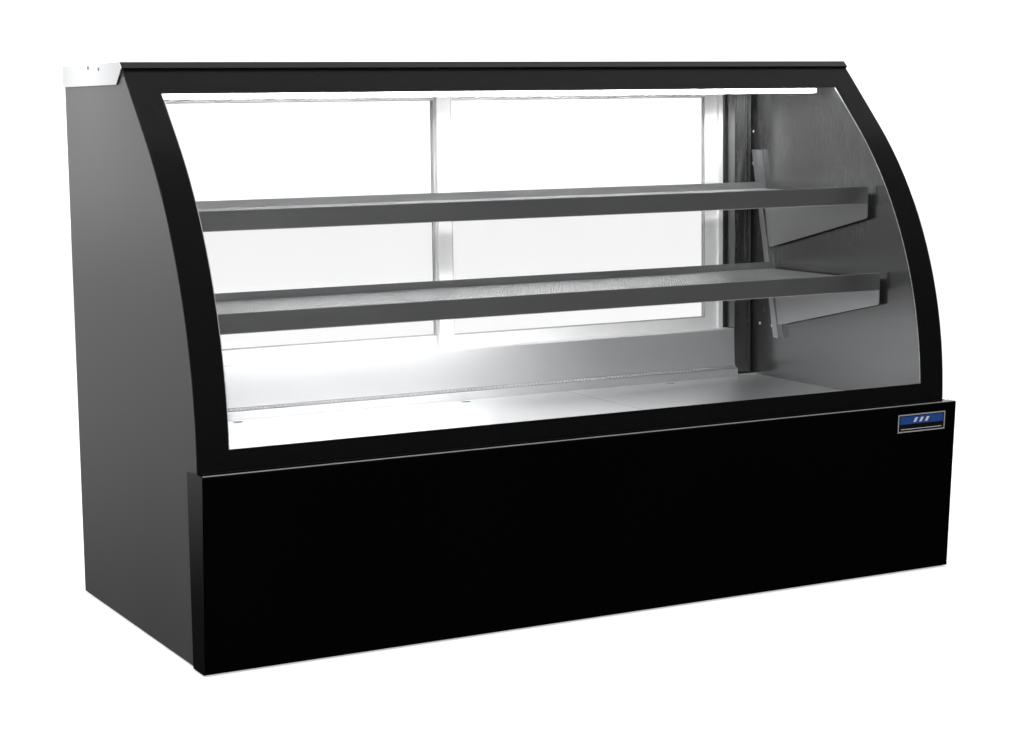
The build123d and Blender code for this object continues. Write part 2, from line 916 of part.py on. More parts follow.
grille_face = depth_at(back_face + sheet / 2)
screw_radius = 4
screw_head = 2.2
wall_bolt_radius = 5.5
wall_bolt_head = 4
wall_bolt_spots = ((948, 758), (525, 671))
with BuildPart() as screws:
    grille_spots = [
        (x, z)
        for x in (-grille_half + 12, -grille_half / 2, 0, grille_half / 2, grille_half - 12)
        for z in (grille_foot + 8, grille_head - 8)
    ]
    with BuildSketch(Plane.XZ.offset(-grille_face)):
        with Locations(*grille_spots):
            Circle(screw_radius)
    extrude(amount=-screw_head)
    for side in both_sides():
        inwards = Align.MAX if side > 0 else Align.MIN
        for bolt_level, bolt_depth in wall_bolt_spots:
            bolt_place = (side * (room_half - 2), depth_at(bolt_depth), bolt_level)
            with Locations(Location(bolt_place, (0, 90, 0))):
                Cylinder(
                    wall_bolt_radius, wall_bolt_head, align=(Align.CENTER, Align.CENTER, inwards)
                )
save(screws, "screws")

# ---- control plate with display and two switch wells, power inlet ----
plate_thickness = 2
plate_face = back_face + sheet / 2 + plate_thickness
rocker_width = 12
rocker_height = 18
rocker_thickness = 8
rocker_stand = 3.5
rocker_rest_turn = -8
rocker_well_depth = 16
rocker_pin_radius = 1.5
rocker_pin_length = rocker_width + 3.6
rocker_axis_depth = plate_face - 4
rocker_spots = {"power_switch": -62, "light_switch": -38}
display_x = control_x + 25
with BuildPart() as control_panel:
    with Locations((control_x, depth_at(plate_face - plate_thickness / 2), control_z)):
        Box(control_width, plate_thickness, control_height)
    with Locations((display_x, depth_at(back_face - 22), control_z)):
        Box(74, 46, 34)
    with Locations((display_x, depth_at(plate_face + 0.75), control_z)):
        Box(78, 1.5, 38)
    for offset in rocker_spots.values():
        with Locations((control_x + offset, depth_at(back_face - 8), control_z)):
            Box(rocker_width + 5, 20, rocker_height + 7)
        with Locations((control_x + offset, depth_at(plate_face - 7), control_z)):
            Box(rocker_width + 1, rocker_well_depth, rocker_height + 3, mode=Mode.SUBTRACT)
        pin_place = (control_x + offset, depth_at(rocker_axis_depth), control_z)
        with Locations(Location(pin_place, (0, 90, 0))):
            Cylinder(rocker_pin_radius + 0.05, rocker_pin_length + 0.4, mode=Mode.SUBTRACT)
save(control_panel, "control_panel")

for rocker_name, offset in rocker_spots.items():
    rocker_place = (control_x + offset, depth_at(rocker_axis_depth), control_z)
    with BuildPart() as rocker:
        with Locations(Location(rocker_place, (rocker_rest_turn, 0, 0))):
            with Locations((0, rocker_stand, 0)):
                Box(rocker_width, rocker_thickness, rocker_height)
        fillet(rocker.edges().filter_by(Axis.X), 1)
        with Locations(Location(rocker_place, (0, 90, 0))):
            Cylinder(rocker_pin_radius, rocker_pin_length)
    save(rocker, rocker_name)

with BuildPart() as power_inlet:
    with Locations((inlet_x, depth_at(back_face + sheet / 2 + 1.5), inlet_z)):
        Box(60, 3, 34)
    with Locations((inlet_x, depth_at(back_face - 14), inlet_z)):
        Box(46, 32, 26)
    with Locations((inlet_x, depth_at(back_face - 6), inlet_z)):
        Box(25, 24, 17, mode=Mode.SUBTRACT)
    for pin_x, pin_z in ((-7, -2), (0, 3), (7, -2)):
        with Locations((inlet_x + pin_x, depth_at(back_face - 12), inlet_z + pin_z)):
            Box(2, 14, 4)
save(power_inlet, "power_inlet")

# ---- condensing unit ----
unit_floor = rail_foot + rail + sheet
compressor_x = 150
compressor_depth = 600
can_radius = 74
can_foot = 20
can_height = 150
grommet_height = 10
with BuildPart() as compressor:
    with Locations((compressor_x, depth_at(compressor_depth), unit_floor + grommet_height)):
        Box(190, 130, 3, align=(Align.CENTER, Align.CENTER, Align.MIN))
        Cylinder(can_radius - 8, can_foot, align=(Align.CENTER, Align.CENTER, Align.MIN))
    with Locations((compressor_x, depth_at(compressor_depth), unit_floor + can_foot)):
        Cylinder(can_radius, can_height, align=(Align.CENTER, Align.CENTER, Align.MIN))
    fillet(compressor.faces().sort_by(Axis.Z)[-1].edges(), 30)
    with Locations((compressor_x - can_radius - 8, depth_at(compressor_depth), unit_floor + 85)):
        Box(38, 60, 60)
    for side in both_sides():
        for row in both_sides():
            with Locations((compressor_x + side * 84, depth_at(compressor_depth + row * 55), unit_floor)):
                Cylinder(4.1, 60, mode=Mode.SUBTRACT)
save(compressor, "compressor")

with BuildPart() as compressor_mounts:
    for side in both_sides():
        for row in both_sides():
            with Locations((compressor_x + side * 84, depth_at(compressor_depth + row * 55), unit_floor)):
                Cylinder(11, grommet_height, align=(Align.CENTER, Align.CENTER, Align.MIN))
                Cylinder(4, grommet_height + 12, align=(Align.CENTER, Align.CENTER, Align.MIN))
save(compressor_mounts, "compressor_mounts")

coil_x = 460
coil_width = 300
coil_depth_from = 772
coil_depth_to = 828
coil_height = 165
tube_radius = 4
with BuildPart() as condenser_coil:
    with Locations(
        (coil_x, depth_at((coil_depth_from + coil_depth_to) / 2), unit_floor + 2 + coil_height / 2)
    ):
        Box(coil_width, coil_depth_to - coil_depth_from, coil_height)
    for side in both_sides():
        for row in range(6):
            turn_z = unit_floor + 18 + row * 26
            with Locations(
                Location(
                    (coil_x + side * (coil_width / 2 + 4), depth_at(coil_depth_from + 28), turn_z),
                    (0, 90, 0),
                )
            ):
                Cylinder(tube_radius, 8)
save(condenser_coil, "condenser_coil")

fan_z = unit_floor + 2 + coil_height / 2
fan_radius = 72
shroud_depth = 766
with BuildPart() as condenser_shroud:
    with Locations((coil_x, depth_at(shroud_depth + 2.5), fan_z)):
        Box(coil_width, 5, coil_height)
    with Locations(Location((coil_x, depth_at(shroud_depth - 10), fan_z), (90, 0, 0))):
        Cylinder(fan_radius + 6, 30)
        Cylinder(fan_radius + 4, 60, mode=Mode.SUBTRACT)
    with Locations((coil_x, depth_at(shroud_depth - 26), fan_z)):
        Box(2 * fan_radius + 11, 3, 12)
        Box(12, 3, 2 * fan_radius + 11)
    with Locations(Location((coil_x, depth_at(shroud_depth - 26), fan_z), (90, 0, 0))):
        Cylinder(8, 10, mode=Mode.SUBTRACT)
save(condenser_shroud, "condenser_shroud")


shaft_radius = 3


def fan_wheel(radius, hub_radius, hub_length, blades, pitch):
    """An axial fan wheel about +Z, with a running bore through its hub."""
    with BuildPart() as wheel:
        Cylinder(hub_radius, hub_length)
        for turn in range(blades):
            with Locations(Location((0, 0, 0), (0, 0, turn * 360 / blades))):
                with Locations(Location(((radius + hub_radius) / 2 - 1, 0, 0), (pitch, 0, 0))):
                    Box(radius - hub_radius, radius * 0.5, 1.6)
        Cylinder(radius, 3 * hub_length, mode=Mode.INTERSECT)
        Cylinder(shaft_radius + 0.05, 4 * hub_length, mode=Mode.SUBTRACT)
    return wheel.part


evaporator_fan_xs = {"left": -300, "right": 300}
evaporator_fan_depth = 512
evaporator_fan_radius = 40
evaporator_fan_z = well_bottom + 48
condenser_wheel = fan_wheel(fan_radius, 20, 18, 5, 28)
with BuildPart() as condenser_fan:
    with Locations(Location((coil_x, depth_at(shroud_depth - 8), fan_z), (90, 0, 0))):
        add(condenser_wheel)
save(condenser_fan, "condenser_fan")

evaporator_wheel = fan_wheel(evaporator_fan_radius, 14, 14, 5, 26)

for fan_name, fan_x in evaporator_fan_xs.items():
    with BuildPart() as evaporator_fan:
        with Locations(
            Location((fan_x, depth_at(evaporator_fan_depth), evaporator_fan_z), (90, 0, 0))
        ):
            add(evaporator_wheel)
    save(evaporator_fan, f"evaporator_fan_{fan_name}")

with BuildPart() as fan_motors:
    with Locations(Location((coil_x, depth_at(shroud_depth - 53), fan_z), (90, 0, 0))):
        Cylinder(38, 50)
    with Locations(Location((coil_x, depth_at(shroud_depth - 14), fan_z), (90, 0, 0))):
        Cylinder(shaft_radius, 34)
    for fan_x in evaporator_fan_xs.values():
        motor_end = evaporator_fan_depth - 17
        with Locations(Location((fan_x, depth_at(motor_end - 15), evaporator_fan_z), (90, 0, 0))):
            Cylinder(19, 30)
        with Locations(Location((fan_x, depth_at(motor_end + 12), evaporator_fan_z), (90, 0, 0))):
            Cylinder(shaft_radius, 24)
save(fan_motors, "fan_motors")

with BuildPart() as evaporator_fan_plate:
    plate_depth = evaporator_fan_depth + 4
    with Locations((0, depth_at(plate_depth), (well_bottom + 1 + pan_rest - 4) / 2)):
        Box(1500, sheet, pan_rest - 4 - well_bottom - 1)
    for fan_x in evaporator_fan_xs.values():
        with Locations(Location((fan_x, depth_at(plate_depth), evaporator_fan_z), (90, 0, 0))):
            Cylinder(evaporator_fan_radius + 3, 10, mode=Mode.SUBTRACT)
        for arm_angle in (45, 135):
            with Locations(
                Location(
                    (fan_x, depth_at(evaporator_fan_depth - 15.5), evaporator_fan_z),
                    (0, arm_angle, 0),
                )
            ):
                Box(2 * evaporator_fan_radius + 14, 3, 5)
        for arm_angle in (45, 135, 225, 315):
            reach = evaporator_fan_radius + 5.5
            arm_x = fan_x + reach * cos(radians(arm_angle))
            arm_z = evaporator_fan_z + reach * sin(radians(arm_angle))
            with Locations((arm_x, depth_at(evaporator_fan_depth - 6), arm_z)):
                Box(4, 22, 4)
        with Locations(
            Location((fan_x, depth_at(evaporator_fan_depth - 15.5), evaporator_fan_z), (90, 0, 0))
        ):
            Cylinder(5, 6, mode=Mode.SUBTRACT)
save(evaporator_fan_plate, "evaporator_fan_plate")

coil_from = 560
coil_to = 690
evaporator_half = 620
evaporator_foot = well_bottom + 8
evaporator_head = pan_rest - 12
with BuildPart() as evaporator_coil:
    with Locations(
        (-20, depth_at((coil_from + coil_to) / 2), (evaporator_foot + evaporator_head) / 2)
    ):
        Box(2 * evaporator_half - 60, coil_to - coil_from, evaporator_head - evaporator_foot)
    for side in both_sides():
        with Locations(
            (
                -20 + side * (evaporator_half - 29),
                depth_at((coil_from + coil_to) / 2),
                (well_bottom + evaporator_head + 4) / 2,
            )
        ):
            Box(2, coil_to - coil_from + 6, evaporator_head + 4 - well_bottom)
save(evaporator_coil, "evaporator_coil")


# ---- copper lines and filter drier ----
def tube_along(points, radius, corner):
    """A round tube along (x, depth, z) points with tangent corners."""
    path_points = [(x, depth_at(d), z) for x, d, z in points]
    with BuildPart() as tube:
        with BuildLine() as path:
            FilletPolyline(*path_points, radius=corner)
        with BuildSketch(Plane(origin=path.line @ 0, z_dir=path.line % 0)):
            Circle(radius)
        sweep()
    return tube.part


line_radius = 4
well_entry_z = well_bottom + 30
line_corner = 14
hot_z = unit_floor + 60
liquid_z = unit_floor + 18
suction_z = unit_floor + 100
suction_depth = compressor_depth - 90
hot_x = compressor_x + can_radius + 45
liquid_x = pipe_hole_x + 6
suction_x = pipe_hole_x - 6
turn_depth = coil_depth_from + 28
hot_line = tube_along(
    (
        (compressor_x + can_radius + 0.3, compressor_depth, hot_z),
        (hot_x, compressor_depth, hot_z),
        (hot_x, turn_depth, hot_z),
        (coil_x - coil_width / 2 - 8.5, turn_depth, hot_z),
    ),
    line_radius,
    line_corner,
)
liquid_line = tube_along(
    (
        (coil_x + coil_width / 2 + 8.5, turn_depth, liquid_z),
        (liquid_x, turn_depth, liquid_z),
        (liquid_x, pipe_hole_depth + 40, liquid_z),
        (liquid_x, pipe_hole_depth, unit_floor + 80),
        (liquid_x, pipe_hole_depth, well_entry_z),
    ),
    line_radius - 1,
    line_corner,
)
suction_line = tube_along(
    (
        (suction_x, pipe_hole_depth, well_entry_z),
        (suction_x, pipe_hole_depth, suction_z),
        (suction_x, suction_depth, suction_z),
        (compressor_x, suction_depth, suction_z),
        (compressor_x, compressor_depth - can_radius - 0.3, suction_z),
    ),
    line_radius,
    line_corner,
)
drier_radius = 11
drier_length = 70
with BuildPart() as refrigerant_pipes:
    add(hot_line)
    add(liquid_line)
    add(suction_line)
    with Locations(Location((liquid_x, depth_at(pipe_hole_depth + 90), liquid_z), (90, 0, 0))):
        Cylinder(drier_radius, drier_length)
save(refrigerant_pipes, "refrigerant_pipes")

# ---- condensate pan and drain ----
tray_length = 360
tray_width = 240
tray_height = 46
tray_wall = 2.5
tray_depth = drain_depth + 40
on_floor = (Align.CENTER, Align.CENTER, Align.MIN)
with BuildPart() as condensate_pan:
    with Locations((drain_x, depth_at(tray_depth), unit_floor)):
        Box(tray_length, tray_width, tray_height, align=on_floor)
    with Locations((drain_x, depth_at(tray_depth), unit_floor + tray_wall)):
        Box(
            tray_length - 2 * tray_wall,
            tray_width - 2 * tray_wall,
            tray_height,
            align=on_floor,
            mode=Mode.SUBTRACT,
        )

drain_foot = unit_floor + 30
drain_head = well_bottom + 3
with BuildPart() as drain_pipe:
    with Locations((drain_x, depth_at(drain_depth), drain_foot)):
        Cylinder(drain_radius - 0.5, drain_head - drain_foot, align=on_floor)
        Cylinder(
            drain_radius - 2.5, drain_head - drain_foot, align=on_floor, mode=Mode.SUBTRACT
        )

with BuildPart() as drain_and_pan:
    add(condensate_pan.part)
    add(drain_pipe.part)
save(drain_and_pan, "drain_and_pan")
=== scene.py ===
"""Looks of the refrigerated deli case: finishes, perforated trays, glass border and small parts."""

import json
import math

import bmesh
import bpy
from mathutils import Matrix, Vector


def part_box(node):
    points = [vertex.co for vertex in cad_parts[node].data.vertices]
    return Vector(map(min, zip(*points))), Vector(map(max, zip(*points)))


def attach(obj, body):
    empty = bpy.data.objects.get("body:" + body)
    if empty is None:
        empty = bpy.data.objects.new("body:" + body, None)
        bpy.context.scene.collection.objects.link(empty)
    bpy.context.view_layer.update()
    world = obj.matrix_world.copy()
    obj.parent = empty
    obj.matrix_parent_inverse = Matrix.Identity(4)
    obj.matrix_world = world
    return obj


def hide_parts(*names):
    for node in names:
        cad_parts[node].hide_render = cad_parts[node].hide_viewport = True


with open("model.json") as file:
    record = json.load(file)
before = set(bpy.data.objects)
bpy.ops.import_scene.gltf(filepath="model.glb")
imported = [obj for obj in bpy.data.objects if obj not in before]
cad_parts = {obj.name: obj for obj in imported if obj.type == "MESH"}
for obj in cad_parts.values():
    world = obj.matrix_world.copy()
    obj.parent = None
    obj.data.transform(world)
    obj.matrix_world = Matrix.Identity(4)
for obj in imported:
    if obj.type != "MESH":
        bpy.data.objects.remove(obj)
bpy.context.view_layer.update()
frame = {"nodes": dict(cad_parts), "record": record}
nodes = frame["nodes"]
MM = 0.001
MIDDLE_DEPTH = 427 * MM


def depth(distance):
    """Y of a point that many millimetres behind the front panel's top edge."""
    return distance * MM - MIDDLE_DEPTH


# ---------------------------------------------------------------- shader trees
class Pattern:
    """A value that varies over a surface. Sums on it become Math nodes."""

    def __init__(self, finish, socket):
        self.finish = finish
        self.socket = socket

    def math(self, operation, first, second):
        return self.finish.node("ShaderNodeMath", {"operation": operation}, {0: first, 1: second})

    def __add__(self, other):
        return self.math("ADD", self, other)

    def __radd__(self, other):
        return self.math("ADD", other, self)

    def __sub__(self, other):
        return self.math("SUBTRACT", self, other)

    def __rsub__(self, other):
        return self.math("SUBTRACT", other, self)

    def __mul__(self, other):
        return self.math("MULTIPLY", self, other)

    def __rmul__(self, other):
        return self.math("MULTIPLY", other, self)

    def power(self, exponent):
        return self.math("POWER", self, exponent)

    def between(self, low, high):
        """0 below low, 1 above high and smooth in between."""
        return self.finish.node(
            "ShaderNodeMapRange",
            {"interpolation_type": "SMOOTHSTEP"},
            {0: self, 1: low, 2: high, 3: 0.0, 4: 1.0},
        )


class Finish:
    """One material, built round a Principled shader."""

    def __init__(self, name, fixed):
        self.material = bpy.data.materials.new(name)
        self.material.use_nodes = True
        self.tree = self.material.node_tree
        self.tree.nodes.clear()
        self.shader = self.node("ShaderNodeBsdfPrincipled", values=fixed)
        self.output = self.node("ShaderNodeOutputMaterial", values={"Surface": self.shader}, out=None)
        self.object_place = self.node("ShaderNodeTexCoord", out="Object")

    def node(self, kind, settings=None, values=None, out=0):
        """Adds a node: settings first, then the values or links of its sockets."""
        node = self.tree.nodes.new(kind)
        for key, value in (settings or {}).items():
            setattr(node, key, value)
        for key, value in (values or {}).items():
            self.put(node.inputs[key], value)
        return node if out is None else Pattern(self, node.outputs[out])

    def put(self, socket, value):
        if isinstance(value, Pattern):
            self.tree.links.new(value.socket, socket)
        else:
            socket.default_value = value

    def feed(self, **varying):
        """Links varying values to the shader's own sockets, given as base_color=..."""
        for key, value in varying.items():
            self.put(self.shader.socket.node.inputs[key.replace("_", " ").title()], value)

    def place(self, stretch):
        return self.node("ShaderNodeMapping", values={"Vector": self.object_place, "Scale": stretch})

    def noise(self, scale, detail=3.0, stretch=(1, 1, 1), rough=0.5):
        values = {"Vector": self.place(stretch), "Scale": scale, "Detail": detail, "Roughness": rough}
        return self.node("ShaderNodeTexNoise", {"noise_dimensions": "3D"}, values)

    def cells(self, scale, stretch=(1, 1, 1), out="Color"):
        values = {"Vector": self.place(stretch), "Scale": scale}
        return self.node("ShaderNodeTexVoronoi", {"feature": "F1"}, values, out)

    def grey(self, colour):
        return self.node("ShaderNodeSeparateColor", values={0: colour}, out=0)

    def mix(self, share, first, second):
        """Colour mix of two colours by a share from 0 to 1."""
        return self.node(
            "ShaderNodeMix", {"data_type": "RGBA"}, {0: share, 6: first, 7: second}, out=2
        )

    def bump(self, height, strength, distance=0.001):
        self.feed(
            normal=self.node(
                "ShaderNodeBump",
                values={"Height": height, "Strength": strength, "Distance": distance},
            )
        )

    def edges(self, radius):
        """1 along sharp edges and 0 on flat faces."""
        rounded = self.node("ShaderNodeBevel", {"samples": 4}, {"Radius": radius})
        flat = self.node("ShaderNodeNewGeometry", out="Normal")
        match = self.node(
            "ShaderNodeVectorMath", {"operation": "DOT_PRODUCT"}, {0: rounded, 1: flat}, 1
        )
        return (1.0 - match).between(0.02, 0.28)


def grey(level, tint=0.0):
    """An opaque colour of one level, a little bluer with more tint."""
    return (level, level * (1 + tint / 2), level * (1 + tint), 1.0)


def painted_steel(name, level, roughness, specular, peel, edge_level, metallic=0.0):
    """Stoved paint with orange peel, faint smears and rubbed edges."""
    finish = Finish(name, {"Specular IOR Level": specular, "Metallic": metallic})
    smears = finish.noise(2.2, 4.0, (1.0, 1.0, 0.45))
    dust = finish.noise(420.0, 2.0).between(0.66, 0.78)
    worn = finish.edges(0.0016)
    body = finish.mix(smears, grey(level * 0.82), grey(level * 1.18))
    finish.feed(
        base_color=finish.mix(worn * 0.55 + dust * 0.05, body, grey(edge_level)),
        roughness=roughness + smears * 0.09 + dust * 0.1 + worn * 0.08,
    )
    finish.bump(finish.noise(310.0, 1.0), peel, 0.0004)
    return finish.material


def brushed_steel(name, level, roughness, grain, metallic=1.0, relief=0.12, contrast=1.0):
    """Stainless sheet with fine grain lines along one axis and soft cloudy polish marks."""
    tint = 0.02
    finish = Finish(name, {"Metallic": metallic})
    lines = finish.noise(1.0, 4.0, grain, 0.65)
    clouds = finish.noise(3.1, 3.0)
    marks = finish.noise(38.0, 5.0, (1.0, 1.0, 1.0), 0.7).between(0.62, 0.8)
    tone = lines * 0.6 + clouds * 0.4
    finish.feed(
        base_color=finish.mix(
            tone, grey(level * (1 - 0.2 * contrast), tint), grey(level * (1 + 0.12 * contrast), tint)
        ),
        roughness=roughness
        + (lines - 0.5) * (0.22 * contrast)
        + (clouds - 0.5) * (0.16 * contrast)
        + marks * (0.07 * contrast),
    )
    finish.bump(lines, relief, 0.0003)
    return finish.material


def galvanised(name):
    """Zinc-coated sheet with spangle."""
    finish = Finish(name, {"Metallic": 0.85})
    spangle = finish.grey(finish.cells(75.0))
    film = finish.noise(9.0, 4.0)
    finish.feed(
        base_color=finish.mix(spangle * 0.6 + film * 0.4, grey(0.36, 0.05), grey(0.58, 0.05)),
        roughness=0.34 + spangle * 0.16 + film * 0.1,
    )
    finish.bump(spangle, 0.05, 0.0003)
    return finish.material


def anodised(name, level, roughness, metallic=0.75):
    """Satin anodised aluminium section with drawing lines."""
    finish = Finish(name, {"Metallic": metallic})
    lines = finish.noise(1.0, 3.0, (220.0, 220.0, 9.0))
    film = finish.noise(6.0, 3.0)
    worn = finish.edges(0.0012)
    tone = finish.mix(lines * 0.5 + film * 0.5, grey(level * 0.88), grey(level * 1.06))
    finish.feed(
        base_color=finish.mix(worn * 0.5, tone, grey(min(1.0, level * 1.25))),
        roughness=roughness + (lines - 0.5) * 0.14 + film * 0.06,
    )
    finish.bump(lines, 0.05, 0.0003)
    return finish.material


def clear_glass(name, tint, gloss=0.0):
    """A clear pane: straight through, with a mirror film that grows at flat angles."""
    finish = Finish(name, {"Metallic": 0.0, "Base Color": grey(0.02)})
    smears = finish.noise(5.0, 5.0, (1.0, 1.0, 0.5), 0.6).between(0.5, 0.85)
    finish.feed(roughness=0.01 + gloss + smears * 0.05)
    slant = finish.node("ShaderNodeLayerWeight", values={"Blend": 0.5}, out="Facing")
    film = 0.04 + 0.9 * slant.power(5.0)
    through = finish.node("ShaderNodeBsdfTransparent", values={"Color": tint})
    blend = finish.node(
        "ShaderNodeMixShader", values={0: film + smears * 0.01, 1: through, 2: finish.shader}
    )
    finish.put(finish.output.inputs["Surface"], blend)
    return finish.material


def moulded(name, colour, roughness, grainy=0.12):
    """Moulded plastic or rubber with fine texture."""
    finish = Finish(name, {"Specular IOR Level": 0.45})
    cloud = finish.noise(14.0, 4.0)
    darker = tuple(channel * 0.8 for channel in colour[:3]) + (1.0,)
    lighter = tuple(min(1.0, channel * 1.15) for channel in colour[:3]) + (1.0,)
    finish.feed(
        base_color=finish.mix(cloud, darker, lighter),
        roughness=roughness + (cloud - 0.5) * 0.15,
    )
    finish.bump(finish.noise(700.0, 2.0), grainy, 0.0003)
    return finish.material


def foam(name):
    """Sawn polyurethane foam."""
    finish = Finish(name, {"Specular IOR Level": 0.2})
    pores = finish.grey(finish.cells(420.0))
    age = finish.noise(7.0, 4.0)
    finish.feed(
        base_color=finish.mix(pores * 0.4 + age * 0.6, (0.5, 0.4, 0.22, 1), (0.78, 0.68, 0.44, 1)),
        roughness=0.85 + pores * 0.1,
    )
    finish.bump(pores, 0.35, 0.0006)
    return finish.material


def drawn_copper(name):
    """Soft copper tube with a dull film."""
    finish = Finish(name, {"Metallic": 1.0})
    film = finish.noise(30.0, 4.0)
    finish.feed(
        base_color=finish.mix(film, (0.48, 0.19, 0.1, 1), (0.86, 0.46, 0.3, 1)),
        roughness=0.24 + film * 0.22,
    )
    finish.bump(film, 0.08, 0.0003)
    return finish.material


def lit_lens(name, strength):
    """Diffusing lens of the lamp, evenly lit and a little dimmer towards both ends."""
    finish = Finish(name, {"Emission Strength": strength, "Roughness": 0.4})
    along = finish.node("ShaderNodeSeparateXYZ", values={0: finish.object_place}, out=0)
    ends = finish.node("ShaderNodeMath", {"operation": "ABSOLUTE"}, {0: along}).between(0.72, 0.9)
    ribs = finish.noise(1.0, 2.0, (6.0, 500.0, 500.0))
    finish.feed(
        base_color=finish.mix(ribs, grey(0.82), grey(0.92)),
        emission_color=finish.mix(ends * 0.5 + ribs * 0.08, grey(1.0), grey(0.45)),
    )
    return finish.material


FINE_GRAIN = (260.0, 260.0, 260.0)
finishes = {
    "gloss_black_steel": painted_steel("gloss_black_paint", 0.0012, 0.1, 0.4, 0.05, 0.05),
    "graphite_end_steel": painted_steel("graphite_paint", 0.205, 0.34, 0.4, 0.06, 0.5, 0.66),
    "bright_stainless": brushed_steel(
        "bright_brushed_steel", 0.97, 0.3, (6.0, 520.0, 520.0), 0.35, contrast=0.3
    ),
    "liner_stainless": brushed_steel(
        "liner_polished_steel", 0.19, 0.26, (900.0, 900.0, 16.0), 0.85, relief=0.03, contrast=0.4
    ),
    # The deck's stainless is a paler copy of the liner's: painted light where the deck is strongly lit.
    "deck_stainless": brushed_steel(
        "deck_steel_painted_light", 0.76, 0.34, (1100.0, 18.0, 1100.0), 0.7, relief=0.02, contrast=0.3
    ),
    "shelf_steel": brushed_steel("shelf_brushed_steel", 0.45, 0.34, (7.0, 480.0, 480.0), 0.85),
    "front_glass": clear_glass("front_pane_glass", grey(0.99)),
    "door_glass": clear_glass("door_pane_glass", grey(0.99)),
    "door_aluminium": anodised("door_anodised_section", 0.93, 0.42, 0.1),
    "insulation_foam": foam("wall_foam"),
    "black_rubber": moulded("seal_rubber", grey(0.018), 0.6),
    "lamp_lens": lit_lens("lamp_diffuser", 40.0),
    "galvanised_steel": galvanised("spangled_zinc_sheet"),
    "coil_fins": anodised("fin_aluminium", 0.7, 0.3),
    "copper_line": drawn_copper("drawn_copper"),
    "compressor_paint": painted_steel("compressor_enamel", 0.015, 0.3, 0.5, 0.1, 0.12),
    "black_plastic": moulded("control_plastic", grey(0.016), 0.35),
    "badge_plate": moulded("badge_black", grey(0.01), 0.18, 0.02),
    "pan_plastic": moulded("pan_plastic", (0.62, 0.62, 0.58, 1), 0.5),
    "zinc_plate": galvanised("zinc_plated_screw"),
}
ceramic_border = painted_steel("ceramic_border_enamel", 0.004, 0.22, 0.2, 0.02, 0.004)
badge_blue = moulded("badge_blue", (0.03, 0.09, 0.36, 1), 0.2, 0.02)
badge_bright = brushed_steel("badge_bright_rim", 0.9, 0.3, FINE_GRAIN, 0.5)
bolt_bright = brushed_steel("bolt_bright_steel", 0.95, 0.3, FINE_GRAIN, 0.3)
tray_steel = brushed_steel("tray_brushed_steel", 0.64, 0.34, (7.0, 480.0, 480.0), 0.75, contrast=0.6)
# Dark steel for the air strip's face: painted shade where the strip lies in shadow.
strip_painted_shade = brushed_steel("air_strip_painted_shade_steel", 0.12, 0.4, (300.0, 300.0, 300.0), 0.6)
# Bright steel for thin strips along the glass border, the shelf lips and the front panel's top edge:
# painted highlights.
highlight_strip_steel = brushed_steel("painted_highlight_steel", 0.9, 0.28, (6.0, 400.0, 400.0), 0.6)
seal_grey = moulded("door_seal_vinyl", grey(0.5), 0.5)
badge_white = moulded("badge_white", grey(0.85), 0.3, 0.02)
display_lit = lit_lens("display_segments", 0.8)

for subpart in frame["record"]["subparts"]:
    cad_mesh = nodes[subpart["node"]].data
    cad_mesh.materials.clear()
    cad_mesh.materials.append(finishes[subpart["material_slot"]])


# ---------------------------------------------------------------- making pieces
def shape(build):
    """A closed mesh from a function that fills a bmesh, with its faces turned outwards."""
    form = bmesh.new()
    build(form)
    bmesh.ops.remove_doubles(form, verts=form.verts, dist=1e-7)
    bmesh.ops.recalc_face_normals(form, faces=form.faces)
    mesh = bpy.data.meshes.new("shape")
    form.to_mesh(mesh)
    form.free()
    return mesh


def fit(name, mesh, slot, body="cabinet", finish=None, stands_for=()):
    """Puts a finished mesh in the scene as a piece that rides on a body."""
    mesh.name = name
    mesh.materials.clear()
    mesh.materials.append(finish or finishes[slot])
    piece = bpy.data.objects.new(name, mesh)
    bpy.context.scene.collection.objects.link(piece)
    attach(piece, body)
    for node in stands_for:
        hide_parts(node)
    return piece


def add_block(form, low, high):
    """A box between two corners."""
    size = Vector(high) - Vector(low)
    middle = (Vector(high) + Vector(low)) / 2
    place = Matrix.Translation(middle) @ Matrix.Diagonal((*size, 1.0))
    bmesh.ops.create_cube(form, size=1.0, matrix=place)


def add_prism(form, outline, axis, start, end):
    """A prism whose outline is given in the other two axes, in order, and which runs along axis."""
    rings = []
    for along in (start, end):
        ring = []
        for first, second in outline:
            corner = [first, second]
            corner.insert(axis, along)
            ring.append(form.verts.new(corner))
        rings.append(ring)
    form.faces.new(rings[0])
    form.faces.new(list(reversed(rings[1])))
    count = len(outline)
    for index in range(count):
        following = (index + 1) % count
        form.faces.new(
            (rings[0][following], rings[0][index], rings[1][index], rings[1][following])
        )


def add_window(form, low, high, margin):
    """A flat frame in the XZ plane: the border of a box, margin wide, open in the middle."""
    outer = [(low[0], low[2]), (high[0], low[2]), (high[0], high[2]), (low[0], high[2])]
    inner = [
        (low[0] + margin, low[2] + margin),
        (high[0] - margin, low[2] + margin),
        (high[0] - margin, high[2] - margin),
        (low[0] + margin, high[2] - margin),
    ]
    rings = {}
    for label, outline in (("outer", outer), ("inner", inner)):
        for y in (low[1], high[1]):
            rings[label, y] = [form.verts.new((x, y, z)) for x, z in outline]
    near, far = low[1], high[1]
    for index in range(4):
        following = (index + 1) % 4
        for first, second in (
            (("outer", near), ("inner", near)),
            (("inner", far), ("outer", far)),
            (("outer", far), ("outer", near)),
            (("inner", near), ("inner", far)),
        ):
            form.faces.new(
                (
                    rings[first][index],
                    rings[first][following],
                    rings[second][following],
                    rings[second][index],
                )
            )


